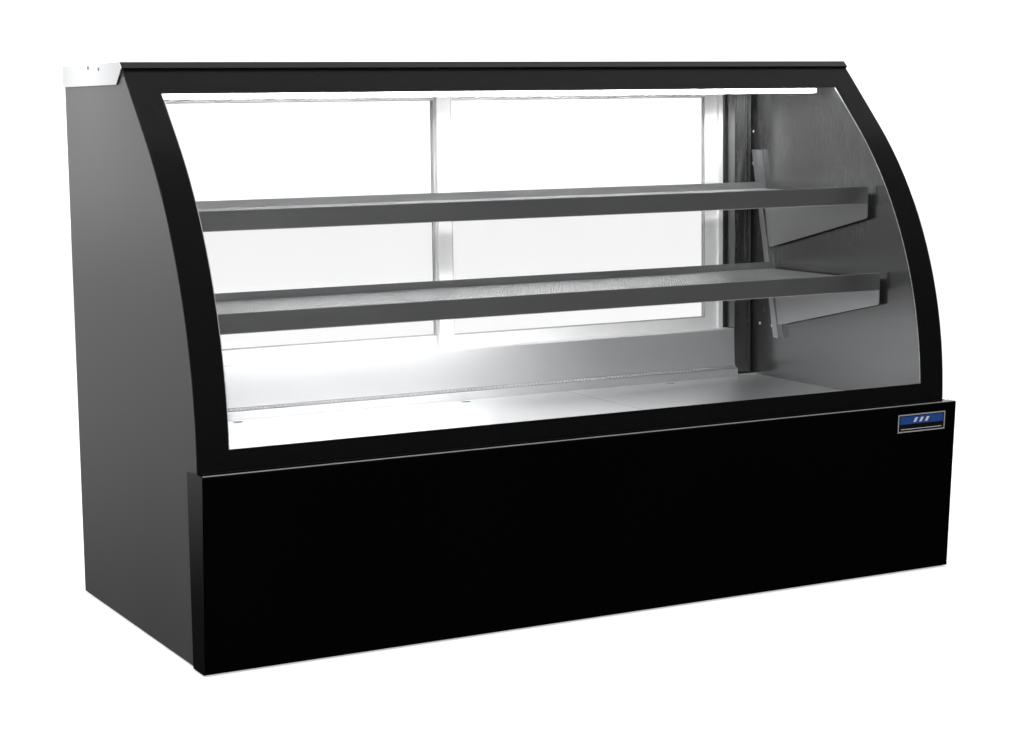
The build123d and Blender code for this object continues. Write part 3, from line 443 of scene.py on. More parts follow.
# ---------------------------------------------------------------- Geometry Nodes
class Layout:
    """A Geometry Nodes tree with named sizes."""

    def __init__(self, name, sizes):
        self.tree = bpy.data.node_groups.new(name, "GeometryNodeTree")
        face = self.tree.interface
        face.new_socket("Geometry", in_out="INPUT", socket_type="NodeSocketGeometry")
        face.new_socket("Geometry", in_out="OUTPUT", socket_type="NodeSocketGeometry")
        for label, kind in sizes.items():
            face.new_socket(label, in_out="INPUT", socket_type=f"NodeSocket{kind}")
        self.given = self.tree.nodes.new("NodeGroupInput")
        self.result = self.tree.nodes.new("NodeGroupOutput")

    def size(self, label):
        return self.given.outputs[label]

    def node(self, kind, settings=None, values=None, out=0):
        node = self.tree.nodes.new(kind)
        for key, value in (settings or {}).items():
            setattr(node, key, value)
        for key, value in (values or {}).items():
            socket = node.inputs[key]
            for given in value if isinstance(value, list) else [value]:
                if isinstance(given, bpy.types.NodeSocket):
                    self.tree.links.new(given, socket)
                else:
                    socket.default_value = given
        return node.outputs[out]

    def sum(self, operation, first, second):
        return self.node("ShaderNodeMath", {"operation": operation}, {0: first, 1: second})

    def finish(self, geometry):
        """Ends the tree in Realize Instances and Set Material."""
        real = self.node("GeometryNodeRealizeInstances", values={"Geometry": geometry})
        painted = self.node(
            "GeometryNodeSetMaterial", values={"Geometry": real, "Material": self.size("Finish")}
        )
        self.tree.links.new(painted, self.result.inputs[0])
        return self

    def run(self, name, start, sizes):
        """Runs the tree on a start mesh and gives the plain mesh it makes."""
        carrier = bpy.data.objects.new(name, start)
        bpy.context.scene.collection.objects.link(carrier)
        modifier = carrier.modifiers.new("layout", "NODES")
        modifier.node_group = self.tree
        sockets = {
            item.name: item.identifier
            for item in self.tree.interface.items_tree
            if item.in_out == "INPUT"
        }
        for label, value in sizes.items():
            modifier[sockets[label]] = value
        evaluated = carrier.evaluated_get(bpy.context.evaluated_depsgraph_get())
        mesh = bpy.data.meshes.new_from_object(evaluated)
        carrier.modifiers.remove(modifier)
        bpy.data.objects.remove(carrier)
        return mesh


def copies_layout():
    """One pattern piece at every vertex of the start mesh."""
    layout = Layout("copies_at_spots", {"Pattern": "Object", "Turn": "Vector", "Finish": "Material"})
    pattern = layout.node(
        "GeometryNodeObjectInfo", values={"Object": layout.size("Pattern")}, out="Geometry"
    )
    turned = layout.node(
        "GeometryNodeInstanceOnPoints",
        values={"Points": layout.size("Geometry"), "Instance": pattern, "Rotation": layout.size("Turn")},
    )
    return layout.finish(turned)


def perforation_layout():
    """A sheet of six-sided holes in staggered rows inside a plain border."""
    layout = Layout(
        "perforated_sheet",
        {
            "Columns": "Int",
            "Rows": "Int",
            "Pitch": "Float",
            "Hole radius": "Float",
            "Thickness": "Float",
            "Width": "Float",
            "Length": "Float",
            "Border": "Float",
            "Place": "Vector",
            "Finish": "Material",
        },
    )
    pitch = layout.size("Pitch")
    row_step = layout.sum("MULTIPLY", pitch, math.sqrt(3) / 2)
    last_column = layout.sum("SUBTRACT", layout.size("Columns"), 1.0)
    last_row = layout.sum("SUBTRACT", layout.size("Rows"), 1.0)
    grid = layout.node(
        "GeometryNodeMeshGrid",
        values={
            "Size X": layout.sum("MULTIPLY", last_column, pitch),
            "Size Y": layout.sum("MULTIPLY", last_row, row_step),
            "Vertices X": layout.size("Columns"),
            "Vertices Y": layout.size("Rows"),
        },
    )
    spot = layout.node("GeometryNodeInputPosition")
    split = layout.node("ShaderNodeSeparateXYZ", values={0: spot}, out=1)
    # The shift keeps row numbers above zero and off the rounding edge.
    row = layout.sum("ROUND", layout.sum("ADD", layout.sum("DIVIDE", split, row_step), 500.25), 0.0)
    odd = layout.sum("MODULO", row, 2.0)
    slide = layout.sum("MULTIPLY", layout.sum("SUBTRACT", odd, 0.5), layout.sum("MULTIPLY", pitch, 0.5))
    staggered = layout.node(
        "GeometryNodeSetPosition",
        values={"Geometry": grid, "Offset": layout.node("ShaderNodeCombineXYZ", values={0: slide})},
    )
    cell = layout.node(
        "GeometryNodeCurvePrimitiveCircle",
        values={"Resolution": 6, "Radius": layout.sum("DIVIDE", pitch, math.sqrt(3))},
    )
    hole = layout.node(
        "GeometryNodeCurvePrimitiveCircle",
        values={"Resolution": 6, "Radius": layout.size("Hole radius")},
    )
    ring = layout.node(
        "GeometryNodeFillCurve",
        values={"Curve": layout.node("GeometryNodeJoinGeometry", values={0: [cell, hole]})},
    )
    turned = layout.node(
        "GeometryNodeTransform", values={"Geometry": ring, "Rotation": (0.0, 0.0, math.pi / 6)}
    )
    field = layout.node(
        "GeometryNodeRealizeInstances",
        values={
            "Geometry": layout.node(
                "GeometryNodeInstanceOnPoints", values={"Points": staggered, "Instance": turned}
            )
        },
    )
    one_sheet = layout.node(
        "GeometryNodeMergeByDistance", values={"Geometry": field, "Distance": 0.0002}
    )
    both_borders = layout.sum("MULTIPLY", layout.size("Border"), 2.0)
    inner_width = layout.sum("SUBTRACT", layout.size("Width"), both_borders)
    inner_length = layout.sum("SUBTRACT", layout.size("Length"), both_borders)
    outer = layout.node(
        "GeometryNodeCurvePrimitiveQuadrilateral",
        values={"Width": layout.size("Width"), "Height": layout.size("Length")},
    )
    inner = layout.node(
        "GeometryNodeCurvePrimitiveQuadrilateral", values={"Width": inner_width, "Height": inner_length}
    )
    border = layout.node(
        "GeometryNodeFillCurve",
        values={"Curve": layout.node("GeometryNodeJoinGeometry", values={0: [outer, inner]})},
    )
    solids = []
    for flat, extra in ((one_sheet, 0.0), (border, 0.0001)):
        lowered = layout.node(
            "GeometryNodeTransform", values={"Geometry": flat, "Translation": (0.0, 0.0, -extra)}
        )
        raised = layout.node(
            "GeometryNodeExtrudeMesh",
            {"mode": "FACES"},
            {
                "Mesh": lowered,
                "Offset Scale": layout.sum("ADD", layout.size("Thickness"), 2 * extra),
                "Individual": False,
            },
        )
        under = layout.node("GeometryNodeFlipFaces", values={"Mesh": lowered})
        both = layout.node("GeometryNodeJoinGeometry", values={0: [raised, under]})
        solids.append(
            layout.node("GeometryNodeMergeByDistance", values={"Geometry": both, "Distance": 0.00001})
        )
    whole = layout.node("GeometryNodeJoinGeometry", values={0: solids})
    placed = layout.node(
        "GeometryNodeTransform", values={"Geometry": whole, "Translation": layout.size("Place")}
    )
    return layout.finish(placed)


copies = copies_layout()
perforated = perforation_layout()


def spots_mesh(spots):
    mesh = bpy.data.meshes.new("spots")
    mesh.from_pydata([tuple(spot) for spot in spots], [], [])
    return mesh


def repeat(name, pattern_mesh, spots, slot, body="cabinet", turn=(0.0, 0.0, 0.0), **more):
    """Copies of one small mesh at many spots, joined into one piece."""
    pattern = bpy.data.objects.new("pattern", pattern_mesh)
    bpy.context.scene.collection.objects.link(pattern)
    sizes = {"Pattern": pattern, "Turn": turn, "Finish": finishes[slot]}
    mesh = copies.run(name, spots_mesh(spots), sizes)
    bpy.data.objects.remove(pattern)
    return fit(name, mesh, slot, body, **more)


# ---------------------------------------------------------------- perforated shelf trays
HOLE_PITCH = 0.0072
HOLE_RADIUS = 0.0024
TRAY_BORDER = 0.009
TRAY_GAP = 0.002
TRAY_SKIN = 0.0001
ROW_STEP = HOLE_PITCH * math.sqrt(3) / 2
for level_name in ("upper", "lower"):
    tray_node = f"{level_name}_shelf_trays"
    low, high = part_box(tray_node)
    tray_pitch = (high.x - low.x + TRAY_GAP) / 3
    width, length = tray_pitch - TRAY_GAP, high.y - low.y
    columns = int((width - 2 * TRAY_BORDER) / HOLE_PITCH) + 1
    rows = int((length - 2 * TRAY_BORDER) / ROW_STEP) + 1
    for index, side_name in enumerate(("left", "middle", "right")):
        tray_mesh = perforated.run(
            f"{level_name}_tray_{side_name}",
            bpy.data.meshes.new("start"),
            {
                "Columns": columns,
                "Rows": rows,
                "Pitch": HOLE_PITCH,
                "Hole radius": HOLE_RADIUS,
                "Thickness": high.z - low.z - 2 * TRAY_SKIN,
                "Width": width,
                "Length": length,
                "Border": TRAY_BORDER,
                "Place": ((index - 1) * tray_pitch, (low.y + high.y) / 2, low.z + TRAY_SKIN),
                "Finish": tray_steel,
            },
        )
        fit(
            f"{level_name}_tray_{side_name}",
            tray_mesh,
            "shelf_steel",
            f"{level_name}_shelf",
            finish=tray_steel,
            stands_for=[tray_node],
        )

# ---------------------------------------------------------------- black border on the front glass
GLASS_RADIUS = 0.9
GLASS_SPRING = 0.43
GLASS_SWEEP = math.radians(43.8)
GLASS_RUN = 0.1945
GLASS_FACE = depth(37)
GLASS_THICKNESS = 0.006
CLEAR_HALF = 0.8615
CLEAR_FOOT = 0.445
CLEAR_HEAD = 1.141


def glass_point(way, inset):
    """(Y, Z) on the glass line: way 0 is the foot, 1 the spring, 2 the end of the bend, 3 the head."""
    radius = GLASS_RADIUS - inset
    centre = GLASS_FACE + GLASS_RADIUS
    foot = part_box("front_glass")[0].z + 0.001
    if way <= 1:
        return centre - radius, foot + (GLASS_SPRING - foot) * way
    angle = GLASS_SWEEP * min(way - 1, 1.0)
    run = (GLASS_RUN - 0.001) * max(way - 2, 0.0)
    y = centre - radius * math.cos(angle) + run * math.sin(angle)
    return y, GLASS_SPRING + radius * math.sin(angle) + run * math.cos(angle)


def way_at(height, inset):
    """The way along the glass line at which it reaches a height."""
    low, high = 0.0, 3.0
    for _ in range(40):
        middle = (low + high) / 2
        if glass_point(middle, inset)[1] < height:
            low = middle
        else:
            high = middle
    return low


def build_border(form):
    inner_face = GLASS_THICKNESS + 0.0001
    outer_face = inner_face + 0.0003
    ways = [0.0, 1.0] + [1 + step / 36 for step in range(1, 37)] + [3.0]
    ways += [way_at(CLEAR_FOOT, inner_face), way_at(CLEAR_HEAD, inner_face)]
    ways = sorted(ways)
    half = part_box("front_glass")[1].x - 0.001
    lines = [-half, -CLEAR_HALF, CLEAR_HALF, half]
    kept = set()
    for row in range(len(ways) - 1):
        height = glass_point((ways[row] + ways[row + 1]) / 2, inner_face)[1]
        for column in range(3):
            if column != 1 or not CLEAR_FOOT < height < CLEAR_HEAD:
                kept.add((row, column))
    faces = {}
    for side, inset in (("near", inner_face), ("far", outer_face)):
        for row, way in enumerate(ways):
            for column, x in enumerate(lines):
                faces[side, row, column] = form.verts.new((x, *glass_point(way, inset)))
    for row, column in kept:
        corners = [(row, column), (row, column + 1), (row + 1, column + 1), (row + 1, column)]
        form.faces.new([faces[("near", *corner)] for corner in corners])
        form.faces.new([faces[("far", *corner)] for corner in reversed(corners)])
        neighbours = [(row - 1, column), (row, column + 1), (row + 1, column), (row, column - 1)]
        for index, neighbour in enumerate(neighbours):
            if neighbour not in kept:
                first, second = corners[index], corners[(index + 1) % 4]
                form.faces.new(
                    (
                        faces[("near", *second)],
                        faces[("near", *first)],
                        faces[("far", *first)],
                        faces[("far", *second)],
                    )
                )
    loose = [corner for corner in form.verts if not corner.link_faces]
    bmesh.ops.delete(form, geom=loose, context="VERTS")


fit("glass_black_border", shape(build_border), "front_glass", finish=ceramic_border)
HIGHLIGHT_WIDTH = 0.0016


def build_glass_highlights(form):
    """A thin bright strip on the glass along the inner upright edge of each border: a painted highlight.
    """
    near, far = GLASS_THICKNESS + 0.0001, GLASS_THICKNESS + 0.0007
    start, end = way_at(CLEAR_FOOT, near), way_at(CLEAR_HEAD, near)
    steps = 40
    for side in (-1, 1):
        rings = []
        for step in range(steps + 1):
            way = start + (end - start) * step / steps
            rings.append(
                [
                    form.verts.new((side * (CLEAR_HALF - shift), *glass_point(way, inset)))
                    for shift, inset in ((0.0, near), (HIGHLIGHT_WIDTH, near), (HIGHLIGHT_WIDTH, far), (0.0, far))
                ]
            )
        for before, after in zip(rings, rings[1:]):
            for corner in range(4):
                following = (corner + 1) % 4
                form.faces.new((before[corner], before[following], after[following], after[corner]))
        form.faces.new(list(reversed(rings[0])))
        form.faces.new(rings[-1])


fit("glass_edge_lines", shape(build_glass_highlights), "front_glass", finish=highlight_strip_steel)

# ---------------------------------------------------------------- painted highlights along the shelf lip edges
LIP_HIGHLIGHT_WIDTH = 0.0012
for level_name in ("upper", "lower"):
    low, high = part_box(f"{level_name}_shelf_frame")

    def build_lip_highlights(form):
        # Bright strips along the lip's top and bottom edges: painted highlights.
        for foot, head in ((high.z - 0.0004, high.z + 0.0002), (low.z - 0.0002, low.z + 0.0012)):
            add_block(
                form,
                (low.x + 0.001, low.y - 0.0002, foot),
                (high.x - 0.001, low.y + LIP_HIGHLIGHT_WIDTH, head),
            )

    fit(
        f"{level_name}_shelf_lip_edges",
        shape(build_lip_highlights),
        "shelf_steel",
        f"{level_name}_shelf",
        finish=highlight_strip_steel,
    )

# ---------------------------------------------------------------- bright strip on the front panel's top edge: a painted highlight
front_low, front_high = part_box("front_panel")


def build_panel_highlight(form):
    add_block(
        form,
        (front_low.x + 0.002, front_low.y + 0.0012, front_high.z - 0.0004),
        (front_high.x - 0.002, front_low.y + 0.0030, front_high.z + 0.0012),
    )


fit("panel_top_bead", shape(build_panel_highlight), "gloss_black_steel", finish=highlight_strip_steel)

# ---------------------------------------------------------------- perforated air strip
STRIP_LOW = Vector((0.0, depth(746), 0.406))
STRIP_HIGH = Vector((0.0, depth(760), 0.414))
STRIP_PITCH = 0.01
STRIP_HOLE = 0.0023
STRIP_COUNT = int((2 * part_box("tub_liner")[1].x - 0.03) / STRIP_PITCH)
STRIP_CLEAR = 0.8245


def flat_ring(form, outer, inner, foot, head):
    """A closed flat ring between two outlines with the same number of corners."""
    count = len(outer)
    rings = [
        [form.verts.new((x, y, z)) for x, y in outline]
        for outline, z in ((outer, foot), (inner, foot), (inner, head), (outer, head))
    ]
    for before, after in zip(rings, rings[1:] + rings[:1]):
        for corner in range(count):
            following = (corner + 1) % count
            form.faces.new((before[corner], before[following], after[following], after[corner]))


def circle(radius, sides=8):
    turns = [2 * math.pi * (side + 0.5) / sides for side in range(sides)]
    return [(radius * math.cos(turn), radius * math.sin(turn)) for turn in turns]


def build_strip_cell(form):
    """One length of the strip face with its hole; its dark finish is painted shade."""
    half, tall = STRIP_PITCH / 2 - 0.00001, (STRIP_HIGH - STRIP_LOW).length / 2 - 0.0006
    reach = 0.4
    outer = [
        (half, tall * reach), (half * reach, tall), (-half * reach, tall), (-half, tall * reach),
        (-half, -tall * reach), (-half * reach, -tall), (half * reach, -tall), (half, -tall * reach),
    ]
    flat_ring(form, outer, circle(STRIP_HOLE), 0.0, 0.00015)


def build_highlight_rim(form):
    """The bright drawn rim of one hole, a painted highlight for the light seen through the hole."""
    flat_ring(form, circle(0.0042), circle(STRIP_HOLE + 0.0001), 0.0002, 0.0004)


strip_lean = math.atan2(STRIP_HIGH.z - STRIP_LOW.z, STRIP_HIGH.y - STRIP_LOW.y)
STRIP_STAND = 0.0009
strip_outward = Vector((0.0, -math.sin(strip_lean), math.cos(strip_lean)))
strip_middle = (STRIP_LOW + STRIP_HIGH) / 2 + strip_outward * STRIP_STAND
strip_spots = [
    ((index - (STRIP_COUNT - 1) / 2) * STRIP_PITCH, strip_middle.y, strip_middle.z)
    for index in range(STRIP_COUNT)
]
strip_spots = [spot for spot in strip_spots if abs(spot[0]) < STRIP_CLEAR]
strip_turn = (strip_lean, 0.0, 0.0)
# The dark strip face is painted shade, and the bright rims are painted highlights where light shows
# through the holes.
for piece_name, build, slot, piece_finish in (
    ("air_strip_face", build_strip_cell, "shelf_steel", strip_painted_shade),
    ("air_strip_rims", build_highlight_rim, "zinc_plate", bolt_bright),
):
    repeat(piece_name, shape(build), strip_spots, slot, turn=strip_turn, finish=piece_finish)

# ---------------------------------------------------------------- door seals
SEAL_INSET = 0.0002
SEAL_WIDTH = 0.0022
SEAL_THICKNESS = 0.0013
for side_name in ("left", "right"):
    low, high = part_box(f"rear_door_{side_name}_pane")

    def build_seals(form):
        for face, way in ((low.y, -1), (high.y, 1)):
            near, far = sorted((face, face + way * SEAL_THICKNESS))
            add_window(
                form,
                (low.x + SEAL_INSET, near, low.z + SEAL_INSET),
                (high.x - SEAL_INSET, far, high.z - SEAL_INSET),
                SEAL_WIDTH,
            )

    fit(
        f"rear_door_{side_name}_seal",
        shape(build_seals),
        "black_rubber",
        f"rear_door_{side_name}",
        finish=seal_grey,
    )

# ---------------------------------------------------------------- cap and wall screws
def build_pan_head(form):
    """A small pan-head screw head with a dished middle, about +Z, 1.3 mm high."""
    rings = ((0.0038, 0.0), (0.0037, 0.0006), (0.003, 0.0011), (0.0016, 0.0013))
    sides = 12
    rows = []
    for radius, height in rings:
        rows.append(
            [
                form.verts.new(
                    (
                        radius * math.cos(2 * math.pi * turn / sides),
                        radius * math.sin(2 * math.pi * turn / sides),
                        height,
                    )
                )
                for turn in range(sides)
            ]
        )
    for lower, upper in zip(rows, rows[1:]):
        for turn in range(sides):
            after = (turn + 1) % sides
            form.faces.new((lower[turn], lower[after], upper[after], upper[turn]))
    form.faces.new(list(reversed(rows[0])))
    bottom = form.verts.new((0, 0, 0.0007))
    for turn in range(sides):
        form.faces.new((rows[-1][turn], rows[-1][(turn + 1) % sides], bottom))


# Depth in millimetres and height; the wall's screws also say how far their seat stands off it.
CAP_SCREWS = ((580, 1.1945), (656, 1.1985))
WALL_SCREWS = ((766, 1.031, 0.0), (742, 0.9, 0.002), (702, 0.694, 0.002), (734, 0.525, 0.0))
for side_name, side in (("left", -1), ("right", 1)):
    cap_face = side * (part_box("top_panel")[1].x + 0.00005)
    spots = [(cap_face, depth(distance), height) for distance, height in CAP_SCREWS]
    repeat(
        f"cap_screws_{side_name}",
        shape(build_pan_head),
        spots,
        "zinc_plate",
        turn=(0.0, side * math.pi / 2, 0.0),
    )
    wall_face = side * (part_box("tub_liner")[1].x - 0.00005)
    wall_spots = [
        (wall_face - side * stand, depth(distance), height) for distance, height, stand in WALL_SCREWS
    ]
    repeat(
        f"wall_screws_{side_name}",
        shape(build_pan_head),
        wall_spots,
        "zinc_plate",
        turn=(0.0, -side * math.pi / 2, 0.0),
        finish=bolt_bright,
    )
nodes["screws"].data.materials[0] = bolt_bright

# ---------------------------------------------------------------- back: louvre hoods
GRILLE_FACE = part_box("rear_grille")[1].y
LOUVRE_LENGTH = 0.23
LOUVRE_PITCH = 0.014
LOUVRE_ROWS = 13
LOUVRE_BANKS = 5
FIRST_BANK = -0.33
BANK_PITCH = 0.262
HOOD_DROP = 0.003
HOOD_HALF = LOUVRE_LENGTH / 2 + 0.003
GRILLE_MIDDLE = (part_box("rear_grille")[0].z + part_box("rear_grille")[1].z) / 2


def build_hood(form):
    """A pressed louvre hood: a curved lip over its slot, open below, with closed ends."""
    steps = 5
    rise, reach, wall = 0.0085, 0.0042, 0.0009
    outer, inner = [], []
    for step in range(steps + 1):
        turn = math.pi / 2 * step / steps
        outer.append((reach * math.sin(turn), rise * math.cos(turn)))
        inner.append(((reach - wall) * math.sin(turn), (rise - wall) * math.cos(turn)))
    outline = [(y, z - HOOD_DROP) for y, z in outer + inner[::-1]]
    add_prism(form, outline, 0, -HOOD_HALF, HOOD_HALF)
    for side in (-1, 1):
        end = side * HOOD_HALF
        cheek = [(y, z - HOOD_DROP) for y, z in inner] + [(0.0, -HOOD_DROP)]
        add_prism(form, cheek, 0, *sorted((end, end - side * wall)))


hood_spots = [
    (
        FIRST_BANK + BANK_PITCH * bank,
        GRILLE_FACE + 0.00005,
        GRILLE_MIDDLE + (row - (LOUVRE_ROWS - 1) / 2) * LOUVRE_PITCH,
    )
    for bank in range(LOUVRE_BANKS)
    for row in range(LOUVRE_ROWS)
]
repeat("louvre_hoods", shape(build_hood), hood_spots, "galvanised_steel")


# ---------------------------------------------------------------- finned coils
def finned_coil(name, node, fin_pitch, tube_rows, tube_columns):
    """Thin fins on round tubes with return bends, in place of a plain block."""
    low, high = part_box(node)
    margin, stub = 0.012, 0.004
    fin_low = Vector((low.x + margin, low.y, low.z))
    fin_high = Vector((high.x - margin, high.y, high.z))
    count = int((fin_high.x - fin_low.x) / fin_pitch)

    def build_fin(form):
        half = 0.0001
        add_block(form, (-half, fin_low.y, fin_low.z), (half, fin_high.y, fin_high.z))

    spots = [(fin_low.x + (index + 0.5) * fin_pitch, 0.0, 0.0) for index in range(count)]
    repeat(f"{name}_fins", shape(build_fin), spots, "coil_fins", stands_for=[node])

    def build_tubes(form):
        radius, sides, bend_steps = 0.0042, 10, 6
        bend_radius, bend_reach = radius * 0.9, 0.0035
        start, end = fin_low.x - stub, fin_high.x + stub
        turns = [2 * math.pi * side / sides for side in range(sides)]
        span_y = (high.y - low.y) / tube_columns
        span_z = (high.z - low.z) / tube_rows
        for column in range(tube_columns):
            for row in range(tube_rows):
                y = low.y + span_y * (column + 0.5)
                z = low.z + span_z * (row + 0.5)
                ring = [(y + radius * math.cos(turn), z + radius * math.sin(turn)) for turn in turns]
                add_prism(form, ring, 0, start, end)
        for end_x, way, first_row in ((end, 1, 0), (start, -1, 1)):
            for column in range(tube_columns):
                y = low.y + span_y * (column + 0.5)
                for row in range(first_row, tube_rows - 1, 2):
                    middle = low.z + span_z * (row + 1)
                    rings = []
                    for step in range(bend_steps + 1):
                        turn = math.pi * step / bend_steps
                        sideways, lift = math.sin(turn), math.cos(turn)
                        centre = Vector(
                            (end_x + way * bend_reach * sideways, y, middle - span_z / 2 * lift)
                        )
                        outward = Vector((way * sideways, 0.0, -lift)) * bend_radius
                        across = Vector((0, 1, 0)) * bend_radius
                        rings.append(
                            [
                                form.verts.new(centre + outward * math.cos(arc) + across * math.sin(arc))
                                for arc in turns
                            ]
                        )
                    for before, after in zip(rings, rings[1:]):
                        for side in range(sides):
                            following = (side + 1) % sides
                            form.faces.new(
                                (before[side], before[following], after[following], after[side])
                            )
                    form.faces.new(list(reversed(rings[0])))
                    form.faces.new(rings[-1])

    fit(f"{name}_tubes", shape(build_tubes), "copper_line")


finned_coil("condenser", "condenser_coil", 0.0026, 6, 2)
finned_coil("evaporator", "evaporator_coil", 0.004, 3, 5)

# ---------------------------------------------------------------- badge: rim, field and plain mark
badge_low, badge_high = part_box("badge")
BADGE_LEAN = math.atan2(25, 398.5)


def badge_place(mesh):
    """Moves a flat shape, drawn in XZ with its face towards -Y, onto the leaning badge plate."""
    middle = (badge_low + badge_high) / 2
    turn = Matrix.Rotation(BADGE_LEAN, 4, "X")
    mesh.transform(Matrix.Translation(middle) @ turn)
    return mesh


def badge_part(name, finish, build):
    fit(name, badge_place(shape(build)), "badge_plate", finish=finish)


badge_part(
    "badge_rim",
    badge_bright,
    lambda form: add_window(form, (-0.0695, -0.00062, -0.0215), (0.0695, -0.00035, 0.0215), 0.0028),
)
badge_part(
    "badge_blue_field",
    badge_blue,
    lambda form: add_block(form, (-0.063, -0.00055, -0.002), (0.063, -0.00036, 0.0165)),
)


def build_badge_mark(form):
    """Three plain slanted bars on the blue field and one thin line below it."""
    for bar in (-1, 0, 1):
        foot = bar * 0.017
        outline = [(foot - 0.008, 0.002), (foot, 0.002), (foot + 0.006, 0.0125), (foot - 0.002, 0.0125)]
        add_prism(form, outline, 1, -0.00062, -0.00056)
    add_block(form, (-0.06, -0.00058, -0.0145), (0.06, -0.0004, -0.0132))


badge_part("badge_mark", badge_white, build_badge_mark)

# ---------------------------------------------------------------- control plate details
panel_low, panel_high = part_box("control_panel")
PLATE_X = (panel_low.x + panel_high.x) / 2
PLATE_Z = (panel_low.z + panel_high.z) / 2
DISPLAY_X = PLATE_X + 0.025
DISPLAY_FACE = panel_high.y


def build_segments(form):
    """Two figures of a segment display, both showing a plain 3."""
    tall, wide, line = 0.0062, 0.0052, 0.0011
    for digit in (-1, 1):
        middle_x = DISPLAY_X - 0.012 + digit * 0.0052
        right = middle_x - wide / 2
        for height in (-tall, 0.0, tall):
            add_block(
                form,
                (middle_x - wide / 2, DISPLAY_FACE + 0.00002, PLATE_Z + height - line / 2),
                (middle_x + wide / 2 - line, DISPLAY_FACE + 0.00022, PLATE_Z + height + line / 2),
            )
        for foot in (-tall, 0.0):
            add_block(
                form,
                (right, DISPLAY_FACE + 0.00003, PLATE_Z + foot + line * 0.7),
                (right + line, DISPLAY_FACE + 0.00023, PLATE_Z + foot + tall - line * 0.7),
            )


fit("control_display_figures", shape(build_segments), "lamp_lens", finish=display_lit)


def build_touch_marks(form):
    """Four plain touch marks beside the figures."""
    for index in range(4):
        x = DISPLAY_X + 0.008 + (index % 2) * 0.014
        z = PLATE_Z + (0.006 if index < 2 else -0.006)
        add_block(
            form,
            (x - 0.0036, DISPLAY_FACE + 0.00002, z - 0.0006),
            (x + 0.0036, DISPLAY_FACE + 0.0002, z + 0.0006),
        )


fit("control_touch_marks", shape(build_touch_marks), "badge_plate", finish=badge_white)

# ---------------------------------------------------------------- studio
FLOOR_GLOW = 0.4


def build_floor(form):
    bmesh.ops.create_grid(form, x_segments=1, y_segments=1, size=14.0)


floor_mesh = shape(build_floor)
floor_finish = Finish(
    "studio_floor", {"Roughness": 0.9, "Specular IOR Level": 0.1, "Emission Strength": FLOOR_GLOW}
)
floor_cloud = floor_finish.noise(1.2, 2.0)
floor_finish.feed(
    base_color=floor_finish.mix(floor_cloud, grey(0.93), grey(0.95)), emission_color=grey(1.0)
)
floor_mesh.materials.append(floor_finish.material)
floor = bpy.data.objects.new("studio_floor", floor_mesh)
bpy.context.scene.collection.objects.link(floor)
floor.visible_glossy = False
floor.visible_diffuse = False


def softbox(name, place, aim, width, height, radiance, in_gloss=True, spread=180.0):
    """A large soft area light at a place, turned to its aim."""
    light = bpy.data.lights.new(name, "AREA")
    light.shape = "RECTANGLE"
    light.size = width
    light.size_y = height
    light.spread = math.radians(spread)
    light.energy = radiance * math.pi * width * height
    lamp = bpy.data.objects.new(name, light)
    lamp.location = place
    lamp.rotation_euler = (Vector(aim) - Vector(place)).to_track_quat("-Z", "Y").to_euler()
    lamp.visible_camera = False
    lamp.visible_glossy = in_gloss
    bpy.context.scene.collection.objects.link(lamp)


softbox("overhead_softbox", (-0.6, -0.8, 4.6), (0.0, 0.0, 0.6), 5.0, 5.0, 1.6, in_gloss=False)
softbox("rear_left_softbox", (-2.3, 3.6, 1.8), (-0.93, 0.0, 1.0), 2.4, 2.4, 0.6)
softbox("front_left_softbox", (-1.9, -4.4, 1.35), (-0.45, 0.1, 0.45), 1.6, 1.2, 1.2, spread=60.0)
softbox("well_softbox", (-0.2, -0.1, 0.62), (-0.2, 0.24, 0.42), 1.0, 0.12, 9.5)
softbox(
    "cap_softbox", (-1.6, 0.3, 1.5), (-0.93, 0.25, 1.19), 0.3, 0.2, 1.1, in_gloss=False, spread=35.0
)
softbox(
    "door_softbox", (0.1, 0.3, 1.12), (0.1, 0.4, 0.55), 1.5, 0.04, 16.0, in_gloss=False, spread=120.0
)


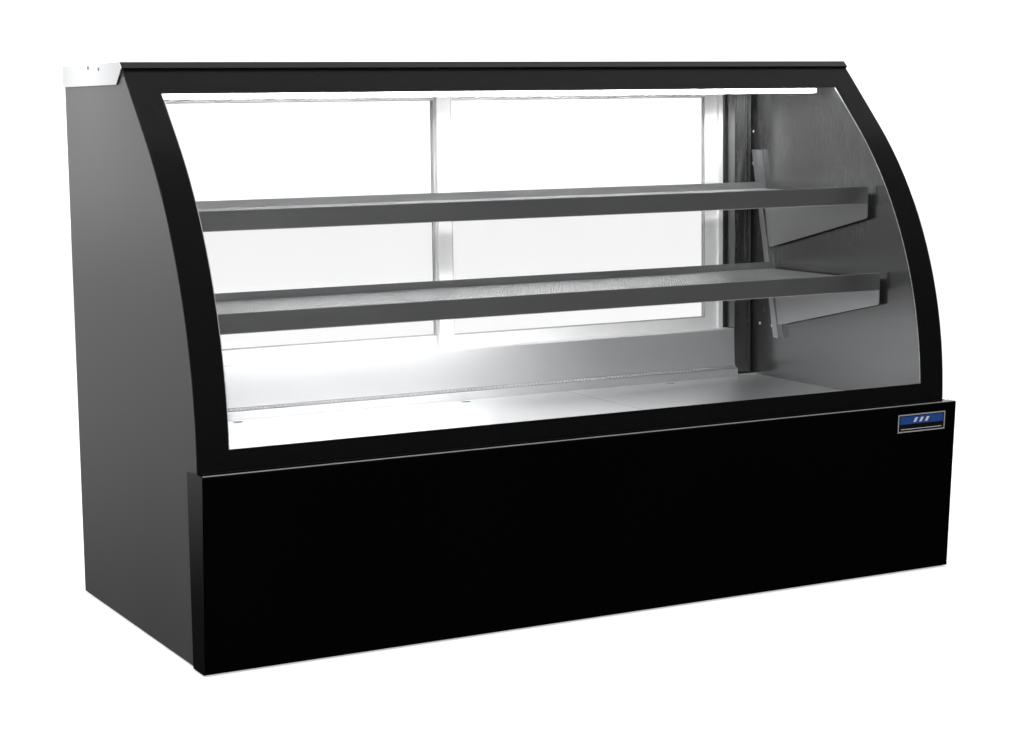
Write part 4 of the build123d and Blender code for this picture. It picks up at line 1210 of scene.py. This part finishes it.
def studio_world():
    """White to the eye; for gloss, darker in front of the case and low down than behind it."""
    world = bpy.data.worlds.new("studio")
    world.use_nodes = True
    tree = world.node_tree
    tree.nodes.clear()

    def add(kind, settings=None, values=None):
        node = tree.nodes.new(kind)
        for key, value in (settings or {}).items():
            setattr(node, key, value)
        for key, value in (values or {}).items():
            if isinstance(value, bpy.types.NodeSocket):
                tree.links.new(value, node.inputs[key])
            else:
                node.inputs[key].default_value = value
        return node

    rays = add("ShaderNodeLightPath")
    way = add("ShaderNodeTexCoord").outputs["Generated"]
    along = add("ShaderNodeSeparateXYZ", values={0: way})
    rear = add(
        "ShaderNodeMapRange",
        {"interpolation_type": "SMOOTHSTEP"},
        {0: along.outputs[1], 1: -0.25, 2: 0.35, 3: 0.05, 4: 0.95},
    )
    right = add(
        "ShaderNodeMapRange",
        {"interpolation_type": "SMOOTHSTEP"},
        {0: along.outputs[0], 1: -0.45, 2: 0.1, 3: 0.12, 4: 1.0},
    )
    above = add(
        "ShaderNodeMapRange",
        {"interpolation_type": "SMOOTHSTEP"},
        {0: along.outputs[2], 1: 0.1, 2: 0.9, 3: 0.0, 4: 0.12},
    )
    low = add(
        "ShaderNodeMapRange",
        {"interpolation_type": "SMOOTHSTEP"},
        {0: along.outputs[2], 1: -0.24, 2: -0.14, 3: 0.1, 4: 1.6},
    )
    side = add("ShaderNodeMath", {"operation": "MULTIPLY"}, {0: right.outputs[0], 1: low.outputs[0]})
    behind = add("ShaderNodeMath", {"operation": "MULTIPLY"}, {0: rear.outputs[0], 1: side.outputs[0]})
    gloss = add(
        "ShaderNodeMath",
        {"operation": "ADD", "use_clamp": True},
        {0: behind.outputs[0], 1: above.outputs[0]},
    )
    fill = add(
        "ShaderNodeMapRange",
        {"interpolation_type": "SMOOTHSTEP"},
        {0: along.outputs[2], 1: -0.3, 2: 0.6, 3: 0.06, 4: 0.8},
    )
    soft = add(
        "ShaderNodeMix",
        {"data_type": "FLOAT"},
        {0: rays.outputs["Is Glossy Ray"], 2: fill.outputs[0], 3: gloss.outputs[0]},
    )
    seen = add(
        "ShaderNodeMix",
        {"data_type": "FLOAT"},
        {0: rays.outputs["Is Camera Ray"], 2: soft.outputs[0], 3: 1.5},
    )
    sky = add("ShaderNodeBackground", values={"Color": (1, 1, 1, 1), "Strength": seen.outputs[0]})
    end = add("ShaderNodeOutputWorld", values={"Surface": sky.outputs[0]})
    bpy.context.scene.world = world
    return end


studio_world()
bpy.context.scene.view_settings.view_transform = "Standard"

# ---------------------------------------------------------------- camera
CAMERA_PLACE = (-2.2205, -4.106, 1.108)
CAMERA_YAW, CAMERA_PITCH, CAMERA_ROLL = (math.radians(turn) for turn in (-28.14, -7.39, 0.72))
CAMERA_LENS = 71.3
camera_data = bpy.data.cameras.new("camera")
camera_data.sensor_width = 36
camera_data.lens = CAMERA_LENS
camera = bpy.data.objects.new("camera", camera_data)
look = (
    Matrix.Rotation(CAMERA_YAW, 4, "Z")
    @ Matrix.Rotation(CAMERA_PITCH, 4, "X")
    @ Matrix.Rotation(CAMERA_ROLL, 4, "Y")
    @ Matrix.Rotation(math.pi / 2, 4, "X")
)
camera.matrix_world = Matrix.Translation(CAMERA_PLACE) @ look
bpy.context.scene.collection.objects.link(camera)
bpy.context.scene.camera = camera
